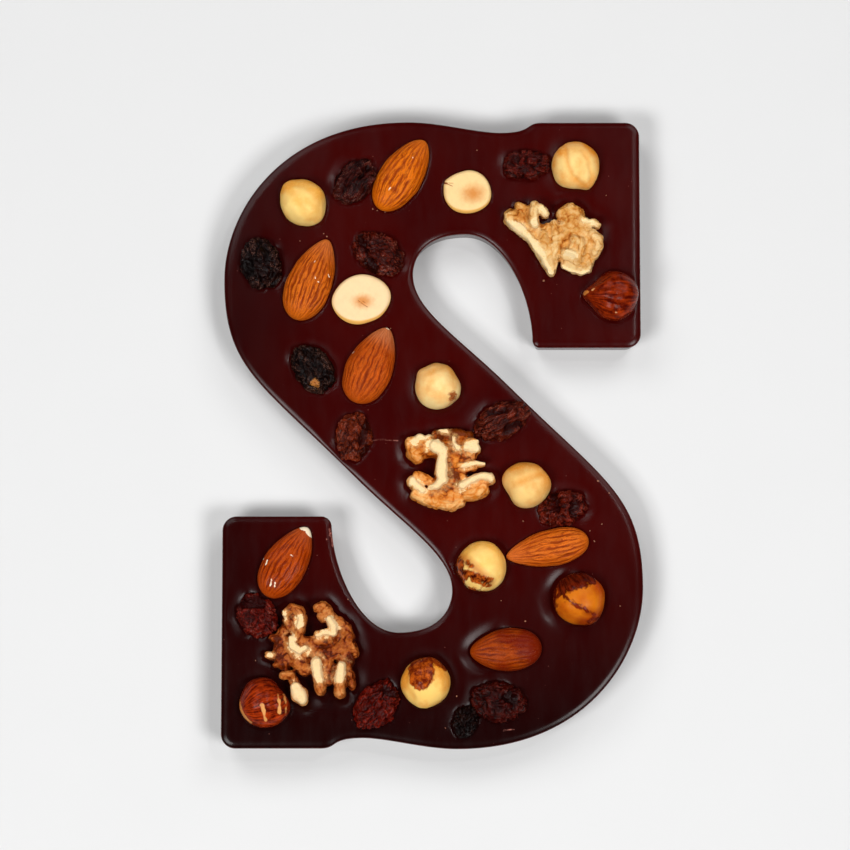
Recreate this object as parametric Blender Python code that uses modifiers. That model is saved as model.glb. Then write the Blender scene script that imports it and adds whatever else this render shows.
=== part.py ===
"""A letter S cast in dark chocolate, with almonds, hazelnuts, walnut pieces and raisins pressed into its top.

Metres, +Z up. The letter lies flat on its underside. The origin is under the middle of the letter, at z = 0,
with +X across the letter and +Y towards its top.
"""
import math

import bmesh
import bpy
from mathutils import Matrix, Vector, noise
from mathutils.geometry import interpolate_bezier

# The bar of chocolate
THICKNESS = 0.0115
DRAFT = 0.0010
SHOULDER_WIDTH = 0.0016
SHOULDER_DROP = 0.0005
RIM_ROUND = 0.0004
FOOT_ROUND = 0.0006

# The letter's outline. It looks the same turned half round, so one half is drawn: from the far left of the
# upper bowl, over the top, round the serif, up into the counter and down the spine to the far right.
# Each place that it passes through is x, y, the heading there in degrees, how far the curve reaches towards
# that heading before and after the place, and how many straight pieces the run after it has.
BOWL_SIDE = (-0.0559, 0.0415, 90, 0.0245, 0.0180, 12)
CREST = (-0.0066, 0.0843, 0, 0.0345, 0.0090, 5)
DIP = (0.0186, 0.0814, 0, 0.0070, 0.0085, 4)
SERIF_START = (0.0295, 0.08415, 0, 0.0045, 0.0, 1)
COUNTER_MOUTH = (0.02675, 0.0260, 93, 0.0, 0.0115, 8)
COUNTER_CREST = (0.0090, 0.05355, 180, 0.0100, 0.0125, 6)
COUNTER_SIDE = (-0.0052, 0.0425, -90, 0.0030, 0.0095, 8)
SPINE_MIDDLE = (0.0209, 0.0119, -45, 0.0195, 0.0360, 11)
FAR_SIDE = (0.0559, -0.0415, -90, 0.0245, 0.0180, 12)
SERIF_RIGHT = 0.05585
SERIF_LEFT = 0.0268
SERIF_TOP = 0.08415
SERIF_FOOT = 0.02265
SERIF_OUTER_ROUND = 0.0038
UPPER_INNER_ROUND = 0.0020
LOWER_INNER_ROUND = 0.0028
CORNER_PIECES = 4

# Room between a topping and the chocolate round it
GAP = 0.00034
WALNUT_GAP = 0.00085

# How finely the round solids are divided
HAZELNUT_SIDES = 12
HAZELNUT_RINGS = 8
ALMOND_SIDES = 12
ALMOND_RINGS = 10
RAISIN_SIDES = 12
RAISIN_RINGS = 7
WALNUT_VOXEL = 0.0008
WALNUT_FACES = 900
WALNUT_POCKET_FACES = 540

# Almonds: centre x and y, length, width, heading of the narrow end in degrees, and how far it is drawn out
ALMOND_DEPTH = 0.66
ALMOND_LIFT = 0.0006
ALMOND_BELLY = 0.20
ALMOND_TAPER = 0.25
ALMONDS = {
    "almond_1": (-0.0082, 0.0695, 0.0223, 0.0116, 57, 0.5),
    "almond_2": (-0.0325, 0.0410, 0.0233, 0.0120, 68, 0.9),
    "almond_3": (-0.0164, 0.0178, 0.0219, 0.0125, 66, 0.9),
    "almond_4": (-0.0386, -0.0349, 0.0212, 0.0115, 59, 0.8),
    "almond_5": (0.0305, -0.0313, 0.0223, 0.0097, 192, 1.0),
    "almond_6": (0.0194, -0.0582, 0.0190, 0.0113, 184, 0.6),
}

# Whole hazelnuts: centre x and y, length along the tip, width, heading and lift of the tip in degrees
HAZELNUT_HEIGHT = 0.96
HAZELNUT_LIFT = 0.0010
HAZELNUT_POINT = 0.10
HAZELNUT_BASE = 0.94
HAZELNUT_BELLY = 0.05
SKIN_ON = ("hazelnut_5", "hazelnut_11")
HAZELNUTS = {
    "hazelnut_1": (-0.0346, 0.0620, 0.0130, 0.0126, 35, 40),
    "hazelnut_4": (0.0387, 0.0719, 0.0136, 0.0127, -45, 15),
    "hazelnut_5": (0.0482, 0.0364, 0.0136, 0.0134, 180, 12),
    "hazelnut_6": (0.0016, 0.0118, 0.0128, 0.0126, -60, 60),
    "hazelnut_7": (0.0250, -0.0145, 0.0130, 0.0124, 20, 30),
    "hazelnut_8": (0.0131, -0.0362, 0.0140, 0.0132, 60, 25),
    "hazelnut_9": (0.0390, -0.0449, 0.0144, 0.0138, -60, 20),
    "hazelnut_10": (-0.0018, -0.0667, 0.0140, 0.0131, 80, 30),
    "hazelnut_11": (-0.0444, -0.0722, 0.0136, 0.0132, 200, 20),
}

# Split hazelnuts, flat side up: centre x and y, length, width, heading, height of the flat over the chocolate
HALF_NUT_SIDES = 14
HALF_NUT_EDGE = 0.0011
HALF_NUT_BACK = 0.0055
HALF_NUT_HOLLOW = 0.0004
HALF_NUTS = {
    "hazelnut_2": (0.0094, 0.0648, 0.0126, 0.0118, 10, 0.0022),
    "hazelnut_3": (-0.0191, 0.0355, 0.0153, 0.0134, 15, 0.0024),
}

# Raisins: centre x and y, length, width, heading in degrees
RAISIN_DEPTH = 0.72
RAISIN_LIFT = 0.0004
RAISIN_FOLD_DEPTH = 0.16
RAISIN_FOLDS = 1.6
RAISIN_VARIETY = 200.0
RAISINS = {
    "raisin_1": (-0.0208, 0.0678, 0.0135, 0.0091, 50),
    "raisin_2": (-0.0460, 0.0451, 0.0134, 0.0107, -75),
    "raisin_3": (-0.0143, 0.0479, 0.0145, 0.0102, -35),
    "raisin_4": (-0.0319, 0.0167, 0.0139, 0.0096, -55),
    "raisin_5": (-0.0209, -0.0016, 0.0123, 0.0091, 75),
    "raisin_6": (0.0252, 0.0722, 0.0124, 0.0078, 5),
    "raisin_7": (0.0187, 0.0029, 0.0148, 0.0092, 27),
    "raisin_8": (0.0349, -0.0203, 0.0116, 0.0086, 20),
    "raisin_9": (-0.0463, -0.0492, 0.0116, 0.0096, -50),
    "raisin_10": (-0.0149, -0.0728, 0.0137, 0.0100, 48),
    "raisin_11": (0.0175, -0.0720, 0.0142, 0.0100, -5),
    "raisin_12": (0.0086, -0.0772, 0.0080, 0.0062, 70),
}

# Walnut pieces: where each lies, and its folds. A fold is how far its crest stands over the chocolate, and the
# points that it runs through: x and y from the middle of the piece, and half the fold's thickness there.
WALNUT_ROOT = 0.0036
WALNUT_PLACES = {
    "walnut_1": (0.0329, 0.0528),
    "walnut_2": (0.0044, -0.0107),
    "walnut_3": (-0.0316, -0.0592),
}
WALNUT_FOLDS = {
    "walnut_1": (
        (0.0042, ((-0.0125, 0.0043, 0.0013), (-0.0096, 0.0017, 0.0016),
                  (-0.0067, -0.0007, 0.0013), (-0.0045, -0.0034, 0.0016))),
        (0.0046, ((-0.0125, 0.0054, 0.0013), (-0.0112, 0.0056, 0.0015))),
        (0.0034, ((-0.0096, 0.0079, 0.0013), (-0.0085, 0.0076, 0.0013))),
        (0.0054, ((-0.0056, 0.0074, 0.0017), (-0.0059, 0.0052, 0.0016), (-0.0056, 0.0026, 0.0015))),
        (0.0050, ((-0.0038, 0.0072, 0.0013), (-0.0027, 0.0058, 0.0012))),
        (0.0046, ((-0.0003, 0.0032, 0.0011), (0.0002, -0.0002, 0.0016), (-0.0003, -0.0042, 0.0019),
                  (-0.0011, -0.0074, 0.0019), (-0.0011, -0.0101, 0.0011))),
        (0.0044, ((-0.0032, 0.0001, 0.0016), (-0.0027, -0.0031, 0.0019), (-0.0019, -0.0068, 0.0016))),
        (0.0042, ((0.0032, 0.0009, 0.0009), (0.0016, -0.0007, 0.0013), (0.0005, -0.0034, 0.0011))),
        (0.0040, ((-0.0059, -0.0017, 0.0011), (-0.0040, -0.0047, 0.0013),
                  (-0.0024, -0.0079, 0.0011), (-0.0013, -0.0105, 0.0005))),
        (0.0046, ((0.0021, 0.0056, 0.0019), (0.0042, 0.0069, 0.0019), (0.0061, 0.0054, 0.0021),
                  (0.0040, 0.0038, 0.0024), (0.0074, 0.0038, 0.0016))),
        (0.0042, ((0.0085, 0.0027, 0.0011), (0.0103, 0.0035, 0.0011), (0.0114, 0.0025, 0.0009))),
        (0.0050, ((0.0098, 0.0000, 0.0016), (0.0111, -0.0011, 0.0019),
                  (0.0114, -0.0032, 0.0016), (0.0103, -0.0051, 0.0016))),
        (0.0040, ((0.0093, -0.0071, 0.0013), (0.0082, -0.0087, 0.0016))),
        (0.0056, ((0.0052, -0.0017, 0.0016), (0.0066, -0.0019, 0.0016),
                  (0.0071, -0.0041, 0.0013), (0.0066, -0.0059, 0.0013))),
        (0.0056, ((0.0029, -0.0054, 0.0019), (0.0042, -0.0059, 0.0019), (0.0055, -0.0073, 0.0016))),
        (0.0036, ((0.0027, -0.0081, 0.0011), (0.0048, -0.0091, 0.0011),
                  (0.0069, -0.0099, 0.0009), (0.0088, -0.0091, 0.0011))),
        (0.0026, ((-0.0114, 0.0056, 0.0019), (-0.0085, 0.0046, 0.0021),
                  (-0.0050, 0.0014, 0.0024), (-0.0024, -0.0026, 0.0021))),
        (0.0026, ((0.0035, 0.0024, 0.0024), (0.0072, 0.0008, 0.0029),
                  (0.0088, -0.0029, 0.0027), (0.0061, -0.0071, 0.0021))),
    ),
    "walnut_2": (
        (0.0058, ((-0.0034, 0.0063, 0.0023), (-0.0013, 0.0050, 0.0017))),
        (0.0058, ((-0.0013, 0.0045, 0.0017), (-0.0019, 0.0021, 0.0017), (-0.0021, -0.0006, 0.0019),
                  (-0.0016, -0.0027, 0.0016), (-0.0032, -0.0043, 0.0013), (-0.0048, -0.0048, 0.0009))),
        (0.0048, ((-0.0098, 0.0072, 0.0020), (-0.0090, 0.0048, 0.0024), (-0.0085, 0.0037, 0.0019))),
        (0.0046, ((-0.0077, 0.0080, 0.0019), (-0.0064, 0.0059, 0.0021), (-0.0053, 0.0083, 0.0013))),
        (0.0044, ((-0.0098, -0.0029, 0.0015), (-0.0085, -0.0042, 0.0016), (-0.0072, -0.0053, 0.0013))),
        (0.0038, ((-0.0085, -0.0012, 0.0012), (-0.0064, -0.0023, 0.0016), (-0.0048, -0.0031, 0.0013))),
        (0.0034, ((-0.0093, -0.0065, 0.0012), (-0.0066, -0.0076, 0.0016), (-0.0034, -0.0084, 0.0019))),
        (0.0036, ((-0.0013, -0.0089, 0.0016), (0.0008, -0.0094, 0.0015), (0.0029, -0.0084, 0.0013))),
        (0.0034, ((-0.0048, -0.0062, 0.0019), (-0.0013, -0.0062, 0.0019), (0.0019, -0.0062, 0.0019))),
        (0.0052, ((0.0035, -0.0042, 0.0012), (0.0056, -0.0029, 0.0013), (0.0082, -0.0016, 0.0012),
                  (0.0106, -0.0019, 0.0013), (0.0112, -0.0027, 0.0011))),
        (0.0044, ((0.0045, -0.0066, 0.0016), (0.0067, -0.0058, 0.0023), (0.0088, -0.0050, 0.0020))),
        (0.0046, ((0.0027, 0.0011, 0.0011), (0.0051, 0.0014, 0.0012),
                  (0.0074, 0.0018, 0.0009), (0.0093, 0.0016, 0.0004))),
        (0.0034, ((0.0016, 0.0012, 0.0016), (0.0043, 0.0004, 0.0012), (0.0067, 0.0007, 0.0008))),
        (0.0048, ((0.0013, 0.0085, 0.0007), (0.0013, 0.0072, 0.0007), (0.0024, 0.0059, 0.0008))),
        (0.0048, ((0.0045, 0.0061, 0.0012), (0.0064, 0.0061, 0.0017), (0.0072, 0.0056, 0.0013))),
        (0.0049, ((0.0045, 0.0077, 0.0007), (0.0064, 0.0080, 0.0008), (0.0077, 0.0077, 0.0005))),
        (0.0030, ((0.0011, 0.0039, 0.0016), (0.0040, 0.0039, 0.0013), (0.0064, 0.0039, 0.0011))),
        (0.0028, ((-0.0034, 0.0098, 0.0013), (-0.0002, 0.0098, 0.0016),
                  (0.0029, 0.0098, 0.0016), (0.0053, 0.0095, 0.0011))),
        (0.0022, ((-0.0077, 0.0061, 0.0027), (-0.0024, 0.0061, 0.0027), (0.0035, 0.0056, 0.0027))),
        (0.0022, ((-0.0008, 0.0024, 0.0024), (0.0011, -0.0014, 0.0027),
                  (-0.0024, -0.0051, 0.0027), (0.0045, -0.0046, 0.0024))),
    ),
    "walnut_3": (
        (0.0052, ((-0.0071, 0.0106, 0.0013), (-0.0055, 0.0117, 0.0015), (-0.0036, 0.0112, 0.0016),
                  (-0.0028, 0.0088, 0.0013), (-0.0034, 0.0061, 0.0015), (-0.0044, 0.0040, 0.0015))),
        (0.0038, ((-0.0066, 0.0086, 0.0016), (-0.0061, 0.0064, 0.0013))),
        (0.0056, ((-0.0057, 0.0040, 0.0007), (-0.0052, 0.0019, 0.0010),
                  (-0.0033, 0.0005, 0.0012), (-0.0020, 0.0013, 0.0010))),
        (0.0048, ((0.0011, 0.0120, 0.0012), (0.0027, 0.0125, 0.0015),
                  (0.0041, 0.0114, 0.0013), (0.0025, 0.0096, 0.0015))),
        (0.0056, ((0.0044, 0.0090, 0.0012), (0.0054, 0.0072, 0.0015), (0.0054, 0.0053, 0.0013),
                  (0.0033, 0.0056, 0.0009), (0.0012, 0.0050, 0.0009))),
        (0.0030, ((-0.0106, 0.0041, 0.0011), (-0.0085, 0.0036, 0.0013))),
        (0.0034, ((-0.0117, -0.0005, 0.0011), (-0.0098, -0.0007, 0.0013))),
        (0.0024, ((-0.0101, -0.0031, 0.0008),)),
        (0.0042, ((-0.0076, -0.0058, 0.0012), (-0.0058, -0.0055, 0.0013))),
        (0.0050, ((-0.0044, -0.0090, 0.0016), (-0.0034, -0.0109, 0.0023), (-0.0026, -0.0122, 0.0016))),
        (0.0056, ((0.0009, -0.0024, 0.0016), (0.0012, -0.0045, 0.0017), (0.0017, -0.0069, 0.0015),
                  (0.0020, -0.0090, 0.0016), (0.0022, -0.0101, 0.0012))),
        (0.0038, ((0.0035, -0.0039, 0.0011), (0.0038, -0.0076, 0.0011))),
        (0.0054, ((0.0075, -0.0034, 0.0016), (0.0073, -0.0056, 0.0017),
                  (0.0073, -0.0082, 0.0016), (0.0073, -0.0104, 0.0016))),
        (0.0040, ((0.0072, 0.0088, 0.0011), (0.0086, 0.0067, 0.0016), (0.0096, 0.0043, 0.0016))),
        (0.0036, ((0.0104, 0.0022, 0.0012), (0.0112, -0.0002, 0.0011))),
        (0.0028, ((0.0099, -0.0020, 0.0013),)),
        (0.0034, ((0.0102, -0.0055, 0.0009), (0.0104, -0.0087, 0.0011))),
        (0.0036, ((-0.0061, 0.0022, 0.0021), (-0.0039, -0.0018, 0.0024), (-0.0021, -0.0042, 0.0019))),
        (0.0038, ((-0.0023, 0.0030, 0.0016), (0.0009, 0.0030, 0.0016), (0.0040, 0.0033, 0.0016))),
        (0.0028, ((0.0024, -0.0004, 0.0021), (0.0056, 0.0004, 0.0024), (0.0083, 0.0020, 0.0021))),
        (0.0026, ((-0.0077, 0.0057, 0.0019), (-0.0085, 0.0014, 0.0021), (-0.0077, -0.0023, 0.0021))),
        (0.0026, ((0.0077, 0.0052, 0.0019), (0.0085, 0.0004, 0.0024), (0.0085, -0.0049, 0.0019))),
    ),
}
FOLD_STEP = 0.0012
EGG_SIDES = 12
EGG_RINGS = 8


def empty_the_scene():
    for thing in list(bpy.data.objects):
        bpy.data.objects.remove(thing)


def collection(name):
    made = bpy.data.collections.new(name)
    bpy.context.scene.collection.children.link(made)
    return made


def food_material(name, colour, roughness):
    made = bpy.data.materials.new(name)
    made.use_nodes = True
    shader = made.node_tree.nodes["Principled BSDF"]
    shader.inputs["Base Color"].default_value = (*colour, 1.0)
    shader.inputs["Roughness"].default_value = roughness
    shader.inputs["Metallic"].default_value = 0.0
    return made


def dark_chocolate():
    return food_material("dark_chocolate", (0.045, 0.006, 0.004), 0.22)


def almond_skin():
    return food_material("almond_skin", (0.48, 0.12, 0.02), 0.45)


def peeled_hazelnut():
    return food_material("peeled_hazelnut", (0.93, 0.58, 0.20), 0.4)


def hazelnut_skin():
    return food_material("hazelnut_skin", (0.28, 0.03, 0.008), 0.3)


def walnut_kernel():
    return food_material("walnut_kernel", (0.62, 0.33, 0.12), 0.55)


def raisin_skin():
    return food_material("raisin_skin", (0.05, 0.010, 0.006), 0.35)


def facing(heading):
    turned = math.radians(heading)
    return Vector((math.cos(turned), math.sin(turned)))


def run_between(start, end):
    """Points from start up to, but not including, end along one smooth curve."""
    x0, y0, heading0, _, reach0, pieces = start
    x1, y1, heading1, reach1, _, _ = end
    leave = Vector((x0, y0)) + facing(heading0) * reach0
    arrive = Vector((x1, y1)) - facing(heading1) * reach1
    return interpolate_bezier(Vector((x0, y0)), leave, arrive, Vector((x1, y1)), pieces + 1)[:-1]


def rounded_corner(x, y, heading_in, radius):
    """An arc that turns a clockwise outline through a right angle inside the given corner."""
    ahead = facing(heading_in)
    right = Vector((ahead.y, -ahead.x))
    middle = Vector((x, y)) - ahead * radius + right * radius
    points = []
    for piece in range(CORNER_PIECES + 1):
        turned = math.radians(90) * piece / CORNER_PIECES
        points.append(middle - right * radius * math.cos(turned) + ahead * radius * math.sin(turned))
    return points


def half_outline(inner_round):
    points = run_between(BOWL_SIDE, CREST) + run_between(CREST, DIP) + run_between(DIP, SERIF_START)
    points.append(Vector(SERIF_START[:2]))
    points += rounded_corner(SERIF_RIGHT, SERIF_TOP, 0, SERIF_OUTER_ROUND)
    points += rounded_corner(SERIF_RIGHT, SERIF_FOOT, -90, SERIF_OUTER_ROUND)
    points += rounded_corner(SERIF_LEFT, SERIF_FOOT, 180, inner_round)
    points += run_between(COUNTER_MOUTH, COUNTER_CREST) + run_between(COUNTER_CREST, COUNTER_SIDE)
    points += run_between(COUNTER_SIDE, SPINE_MIDDLE) + run_between(SPINE_MIDDLE, FAR_SIDE)
    return points


def letter_outline():
    upper = half_outline(UPPER_INNER_ROUND)
    lower = [-point for point in half_outline(LOWER_INNER_ROUND)]
    return upper + lower


def letter_slab():
    """The outline as a flat plate with straight walls, its shoulder not yet raised."""
    outline = letter_outline()
    wall = THICKNESS - SHOULDER_DROP
    curve = bpy.data.curves.new("letter_outline", "CURVE")
    curve.dimensions = "2D"
    curve.fill_mode = "BOTH"
    curve.extrude = wall / 2
    spline = curve.splines.new("POLY")
    spline.points.add(len(outline) - 1)
    for spline_point, point in zip(spline.points, outline):
        spline_point.co = (point.x, point.y, 0.0, 1.0)
    spline.use_cyclic_u = True
    drawn = bpy.data.objects.new("letter_outline", curve)
    drawn.location.z = wall / 2
    bpy.context.scene.collection.objects.link(drawn)
    bpy.context.view_layer.update()
    evaluated = drawn.evaluated_get(bpy.context.evaluated_depsgraph_get())
    mesh = bpy.data.meshes.new_from_object(evaluated)
    mesh.name = "letter"
    mesh.transform(drawn.matrix_world)
    bpy.data.objects.remove(drawn)
    return mesh


def lean_the_walls(bm):
    """Draws the foot in, as the mould that the letter is cast in is wider at its mouth."""
    feet = [vert for vert in bm.verts if vert.co.z < THICKNESS / 2]
    for vert in feet:
        walls = [face.normal for face in vert.link_faces if abs(face.normal.z) < 0.5]
        outward = sum(walls, Vector()).normalized()
        vert.co -= outward * DRAFT / outward.dot(walls[0])


def edges_at(bm, height):
    """The edges where the walls meet the face at the given height."""
    found = []
    for edge in bm.edges:
        level = all(abs(vert.co.z - height) < 1e-6 for vert in edge.verts)
        if level and any(abs(face.normal.z) < 0.5 for face in edge.link_faces):
            found.append(edge)
    return found


def letter(material, cutters):
    mesh = letter_slab()
    bm = bmesh.new()
    bm.from_mesh(mesh)
    bmesh.ops.remove_doubles(bm, verts=bm.verts, dist=1e-5)
    bmesh.ops.recalc_face_normals(bm, faces=bm.faces)
    for side in (1, -1):
        flat = [face for face in bm.faces if face.normal.z * side > 0.5]
        bmesh.ops.dissolve_faces(bm, faces=flat)
    bm.normal_update()
    lean_the_walls(bm)
    top = [face for face in bm.faces if face.normal.z > 0.5]
    bmesh.ops.inset_region(bm, faces=top, thickness=SHOULDER_WIDTH, depth=SHOULDER_DROP, use_even_offset=True)
    bm.normal_update()
    rim = edges_at(bm, THICKNESS - SHOULDER_DROP)
    bmesh.ops.bevel(bm, geom=rim, offset=RIM_ROUND, segments=1, profile=0.5, affect="EDGES")
    bm.normal_update()
    foot = edges_at(bm, 0.0)
    bmesh.ops.bevel(bm, geom=foot, offset=FOOT_ROUND, segments=1, profile=0.5, affect="EDGES")
    bm.to_mesh(mesh)
    bm.free()
    made = bpy.data.objects.new("letter", mesh)
    made.data.materials.append(material)
    pockets = made.modifiers.new("pockets", "BOOLEAN")
    pockets.operation = "DIFFERENCE"
    pockets.operand_type = "COLLECTION"
    pockets.collection = cutters
    pockets.solver = "EXACT"
    return made


def ball(sides, rings):
    """A unit ball whose poles lie on X, for a shape that is turned about its length."""
    bm = bmesh.new()
    bmesh.ops.create_uvsphere(bm, u_segments=sides, v_segments=rings, radius=1.0)
    bmesh.ops.rotate(bm, verts=bm.verts, matrix=Matrix.Rotation(math.radians(90), 3, "Y"))
    return bm


def solid(name, bm, material):
    mesh = bpy.data.meshes.new(name)
    bm.to_mesh(mesh)
    bm.free()
    mesh.materials.append(material)
    mesh.shade_smooth()
    return bpy.data.objects.new(name, mesh)


def almond(name, material):
    """A flattened drop: blunt at one end, drawn to a point at the other."""
    x, y, length, width, heading, drawn = ALMONDS[name]
    bm = ball(ALMOND_SIDES, ALMOND_RINGS)
    for vert in bm.verts:
        along = vert.co.x
        belly = 1.0 - ALMOND_BELLY * drawn * along
        taper = 1.0 - ALMOND_TAPER * drawn * ((1.0 + along) / 2) ** 4
        vert.co.x = along * length / 2
        vert.co.y *= width / 2 * belly * taper
        vert.co.z *= width / 2 * ALMOND_DEPTH * belly * taper
    made = solid(name, bm, material)
    made.location = (x, y, THICKNESS + ALMOND_LIFT)
    made.rotation_euler.z = math.radians(heading)
    return made


def whole_hazelnut(name, material):
    """A round kernel, drawn out to a small point at one end and flattened at the other."""
    x, y, length, width, heading, lift = HAZELNUTS[name]
    bm = ball(HAZELNUT_SIDES, HAZELNUT_RINGS)
    for vert in bm.verts:
        along = vert.co.x
        belly = 1.0 - HAZELNUT_BELLY * along
        if along > 0:
            vert.co.x = along * (1.0 - HAZELNUT_POINT * (1.0 - along ** 6)) * length / 2
        else:
            vert.co.x = along * HAZELNUT_BASE * length / 2
        vert.co.y *= width / 2 * belly
        vert.co.z *= width / 2 * belly * HAZELNUT_HEIGHT
    made = solid(name, bm, material)
    made.location = (x, y, THICKNESS + HAZELNUT_LIFT)
    made.rotation_euler = (0.0, -math.radians(lift), math.radians(heading))
    return made


def half_hazelnut(name, material):
    """A kernel split down its length: a round back below, and a flat face with a shallow hollow above."""
    x, y, length, width, heading, height = HALF_NUTS[name]
    bm = ball(HALF_NUT_SIDES, HAZELNUT_RINGS)
    bmesh.ops.rotate(bm, verts=bm.verts, matrix=Matrix.Rotation(math.radians(90), 3, "Y"))
    for vert in bm.verts:
        reach = min(1.0, math.hypot(vert.co.x, vert.co.y))
        vert.co.x *= length / 2
        vert.co.y *= width / 2
        if vert.co.z > 0.01:
            vert.co.z = -HALF_NUT_HOLLOW * math.sqrt(1.0 - reach)
        else:
            vert.co.z = vert.co.z * HALF_NUT_BACK - HALF_NUT_EDGE
    made = solid(name, bm, material)
    made.location = (x, y, THICKNESS + height)
    made.rotation_euler.z = math.radians(heading)
    return made


def raisin(name, material):
    """A dried grape: a fat, uneven drop with folded sides."""
    x, y, length, width, heading = RAISINS[name]
    own = Vector((x, y, length)) * RAISIN_VARIETY
    bm = ball(RAISIN_SIDES, RAISIN_RINGS)
    for vert in bm.verts:
        folded = 1.0 + RAISIN_FOLD_DEPTH * noise.noise(vert.co * RAISIN_FOLDS + own)
        vert.co.x *= folded * length / 2
        vert.co.y *= folded * width / 2
        vert.co.z *= folded * width / 2 * RAISIN_DEPTH
    made = solid(name, bm, material)
    made.location = (x, y, THICKNESS + RAISIN_LIFT)
    made.rotation_euler.z = math.radians(heading)
    return made


def fold_stations(points):
    """Evenly spaced points along a fold, each with the fold's half thickness there."""
    stations = []
    for start, end in zip(points[:-1], points[1:]):
        start = Vector(start)
        end = Vector(end)
        steps = max(1, round((end - start).length / FOLD_STEP))
        stations += [start.lerp(end, step / steps) for step in range(steps)]
    stations.append(Vector(points[-1]))
    return stations


def walnut_lumps(name):
    """The folds of one piece as rows of upright eggs, rooted under the chocolate's surface."""
    bm = bmesh.new()
    for crest, points in WALNUT_FOLDS[name]:
        tall = (crest + WALNUT_ROOT) / 2
        for x, y, half in fold_stations(points):
            place = Matrix.Translation((x, y, crest - tall))
            egg = place @ Matrix.Diagonal((half, half, tall, 1.0))
            bmesh.ops.create_uvsphere(bm, u_segments=EGG_SIDES, v_segments=EGG_RINGS, radius=1.0, matrix=egg)
    return bm


def thin_out(thing, voxel, faces):
    """Joins the lumps of a walnut piece into one skin and thins that to about the given number of faces."""
    skin = thing.modifiers.new("skin", "REMESH")
    skin.mode = "VOXEL"
    skin.voxel_size = voxel
    skin.use_smooth_shade = True
    bpy.context.view_layer.update()
    evaluated = thing.evaluated_get(bpy.context.evaluated_depsgraph_get())
    found = sum(len(face.vertices) - 2 for face in evaluated.data.polygons)
    fewer = thing.modifiers.new("fewer", "DECIMATE")
    fewer.ratio = faces / found


def walnut(name, material):
    x, y = WALNUT_PLACES[name]
    made = solid(name, walnut_lumps(name), material)
    made.location = (x, y, THICKNESS)
    return made


def pocket(topping, gap):
    """A cutter of a topping's own shape, larger by the gap all round."""
    made = bpy.data.objects.new(topping.name + "_pocket", topping.data)
    made.location = topping.location
    made.rotation_euler = topping.rotation_euler
    made.hide_render = True
    made.display_type = "WIRE"
    grown = made.modifiers.new("grown", "DISPLACE")
    grown.mid_level = 0.0
    grown.strength = gap
    return made


def toppings(home, cutters):
    almond_brown = almond_skin()
    cream = peeled_hazelnut()
    red_brown = hazelnut_skin()
    kernel = walnut_kernel()
    dark = raisin_skin()
    made = [almond(name, almond_brown) for name in ALMONDS]
    for name in HAZELNUTS:
        made.append(whole_hazelnut(name, red_brown if name in SKIN_ON else cream))
    made += [half_hazelnut(name, cream) for name in HALF_NUTS]
    made += [raisin(name, dark) for name in RAISINS]
    for topping in made:
        home.objects.link(topping)
        cutters.objects.link(pocket(topping, GAP))
    for name in WALNUT_FOLDS:
        piece = walnut(name, kernel)
        room = pocket(piece, WALNUT_GAP)
        home.objects.link(piece)
        cutters.objects.link(room)
        thin_out(piece, WALNUT_VOXEL, WALNUT_FACES)
        thin_out(room, WALNUT_VOXEL, WALNUT_POCKET_FACES)


empty_the_scene()
home = collection("chocolate_letter")
cutters = collection("pocket_cutters")
toppings(home, cutters)
home.objects.link(letter(dark_chocolate(), cutters))
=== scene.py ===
"""A letter S cast in dark chocolate, with almonds, hazelnuts, walnut pieces and raisins set in its top.

Metres, +Z up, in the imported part's frame. The letter lies flat on z = 0, +X across it, +Y towards its top.
"""
import math

import bmesh
import bpy
import numpy as np
from mathutils import Matrix, Vector, noise
from mathutils.geometry import delaunay_2d_cdt, interpolate_bezier
from mathutils.kdtree import KDTree


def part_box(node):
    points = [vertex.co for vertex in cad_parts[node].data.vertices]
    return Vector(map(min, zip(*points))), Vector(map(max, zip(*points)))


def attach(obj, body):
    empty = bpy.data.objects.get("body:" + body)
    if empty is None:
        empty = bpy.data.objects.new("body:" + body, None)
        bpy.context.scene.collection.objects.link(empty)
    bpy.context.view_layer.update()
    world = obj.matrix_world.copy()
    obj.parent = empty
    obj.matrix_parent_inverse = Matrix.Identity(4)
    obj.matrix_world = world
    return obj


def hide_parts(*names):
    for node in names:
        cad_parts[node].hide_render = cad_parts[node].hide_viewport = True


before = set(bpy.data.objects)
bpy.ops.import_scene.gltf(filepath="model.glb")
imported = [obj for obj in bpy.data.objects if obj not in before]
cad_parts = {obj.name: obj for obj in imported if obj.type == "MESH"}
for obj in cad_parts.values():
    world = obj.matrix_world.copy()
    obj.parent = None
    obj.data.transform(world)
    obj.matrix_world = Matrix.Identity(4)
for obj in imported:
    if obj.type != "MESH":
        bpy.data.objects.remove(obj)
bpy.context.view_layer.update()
MM = 0.001

# The letter is one bar of dark chocolate, poured into a mould and turned out when it has set. The mould
# gives it smooth walls that draw in towards the foot. The poured face falls softly to its edge and ends in
# a crisp rim.
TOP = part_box("letter")[1].z
DRAFT = 1.0 * MM
SHOULDER_WIDTH = 2.0 * MM
SHOULDER_DROP = 0.5 * MM
RIM_ROUND = 0.4 * MM
FOOT_ROUND = 0.6 * MM
WALL_RINGS = 12
FOOT_RINGS = 4
RIM_RINGS = (0.0, 0.05 * MM, 0.14 * MM, 0.26 * MM, 0.4 * MM, 0.65 * MM, 0.95 * MM, 1.3 * MM, 1.6 * MM)
TOP_STEP = 0.54 * MM
UNDERSIDE_STEP = 4.0 * MM
NEXT_TO_RING = 0.7
FILL_INSIDE = 1
SAME_POINT = 1e-8

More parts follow.
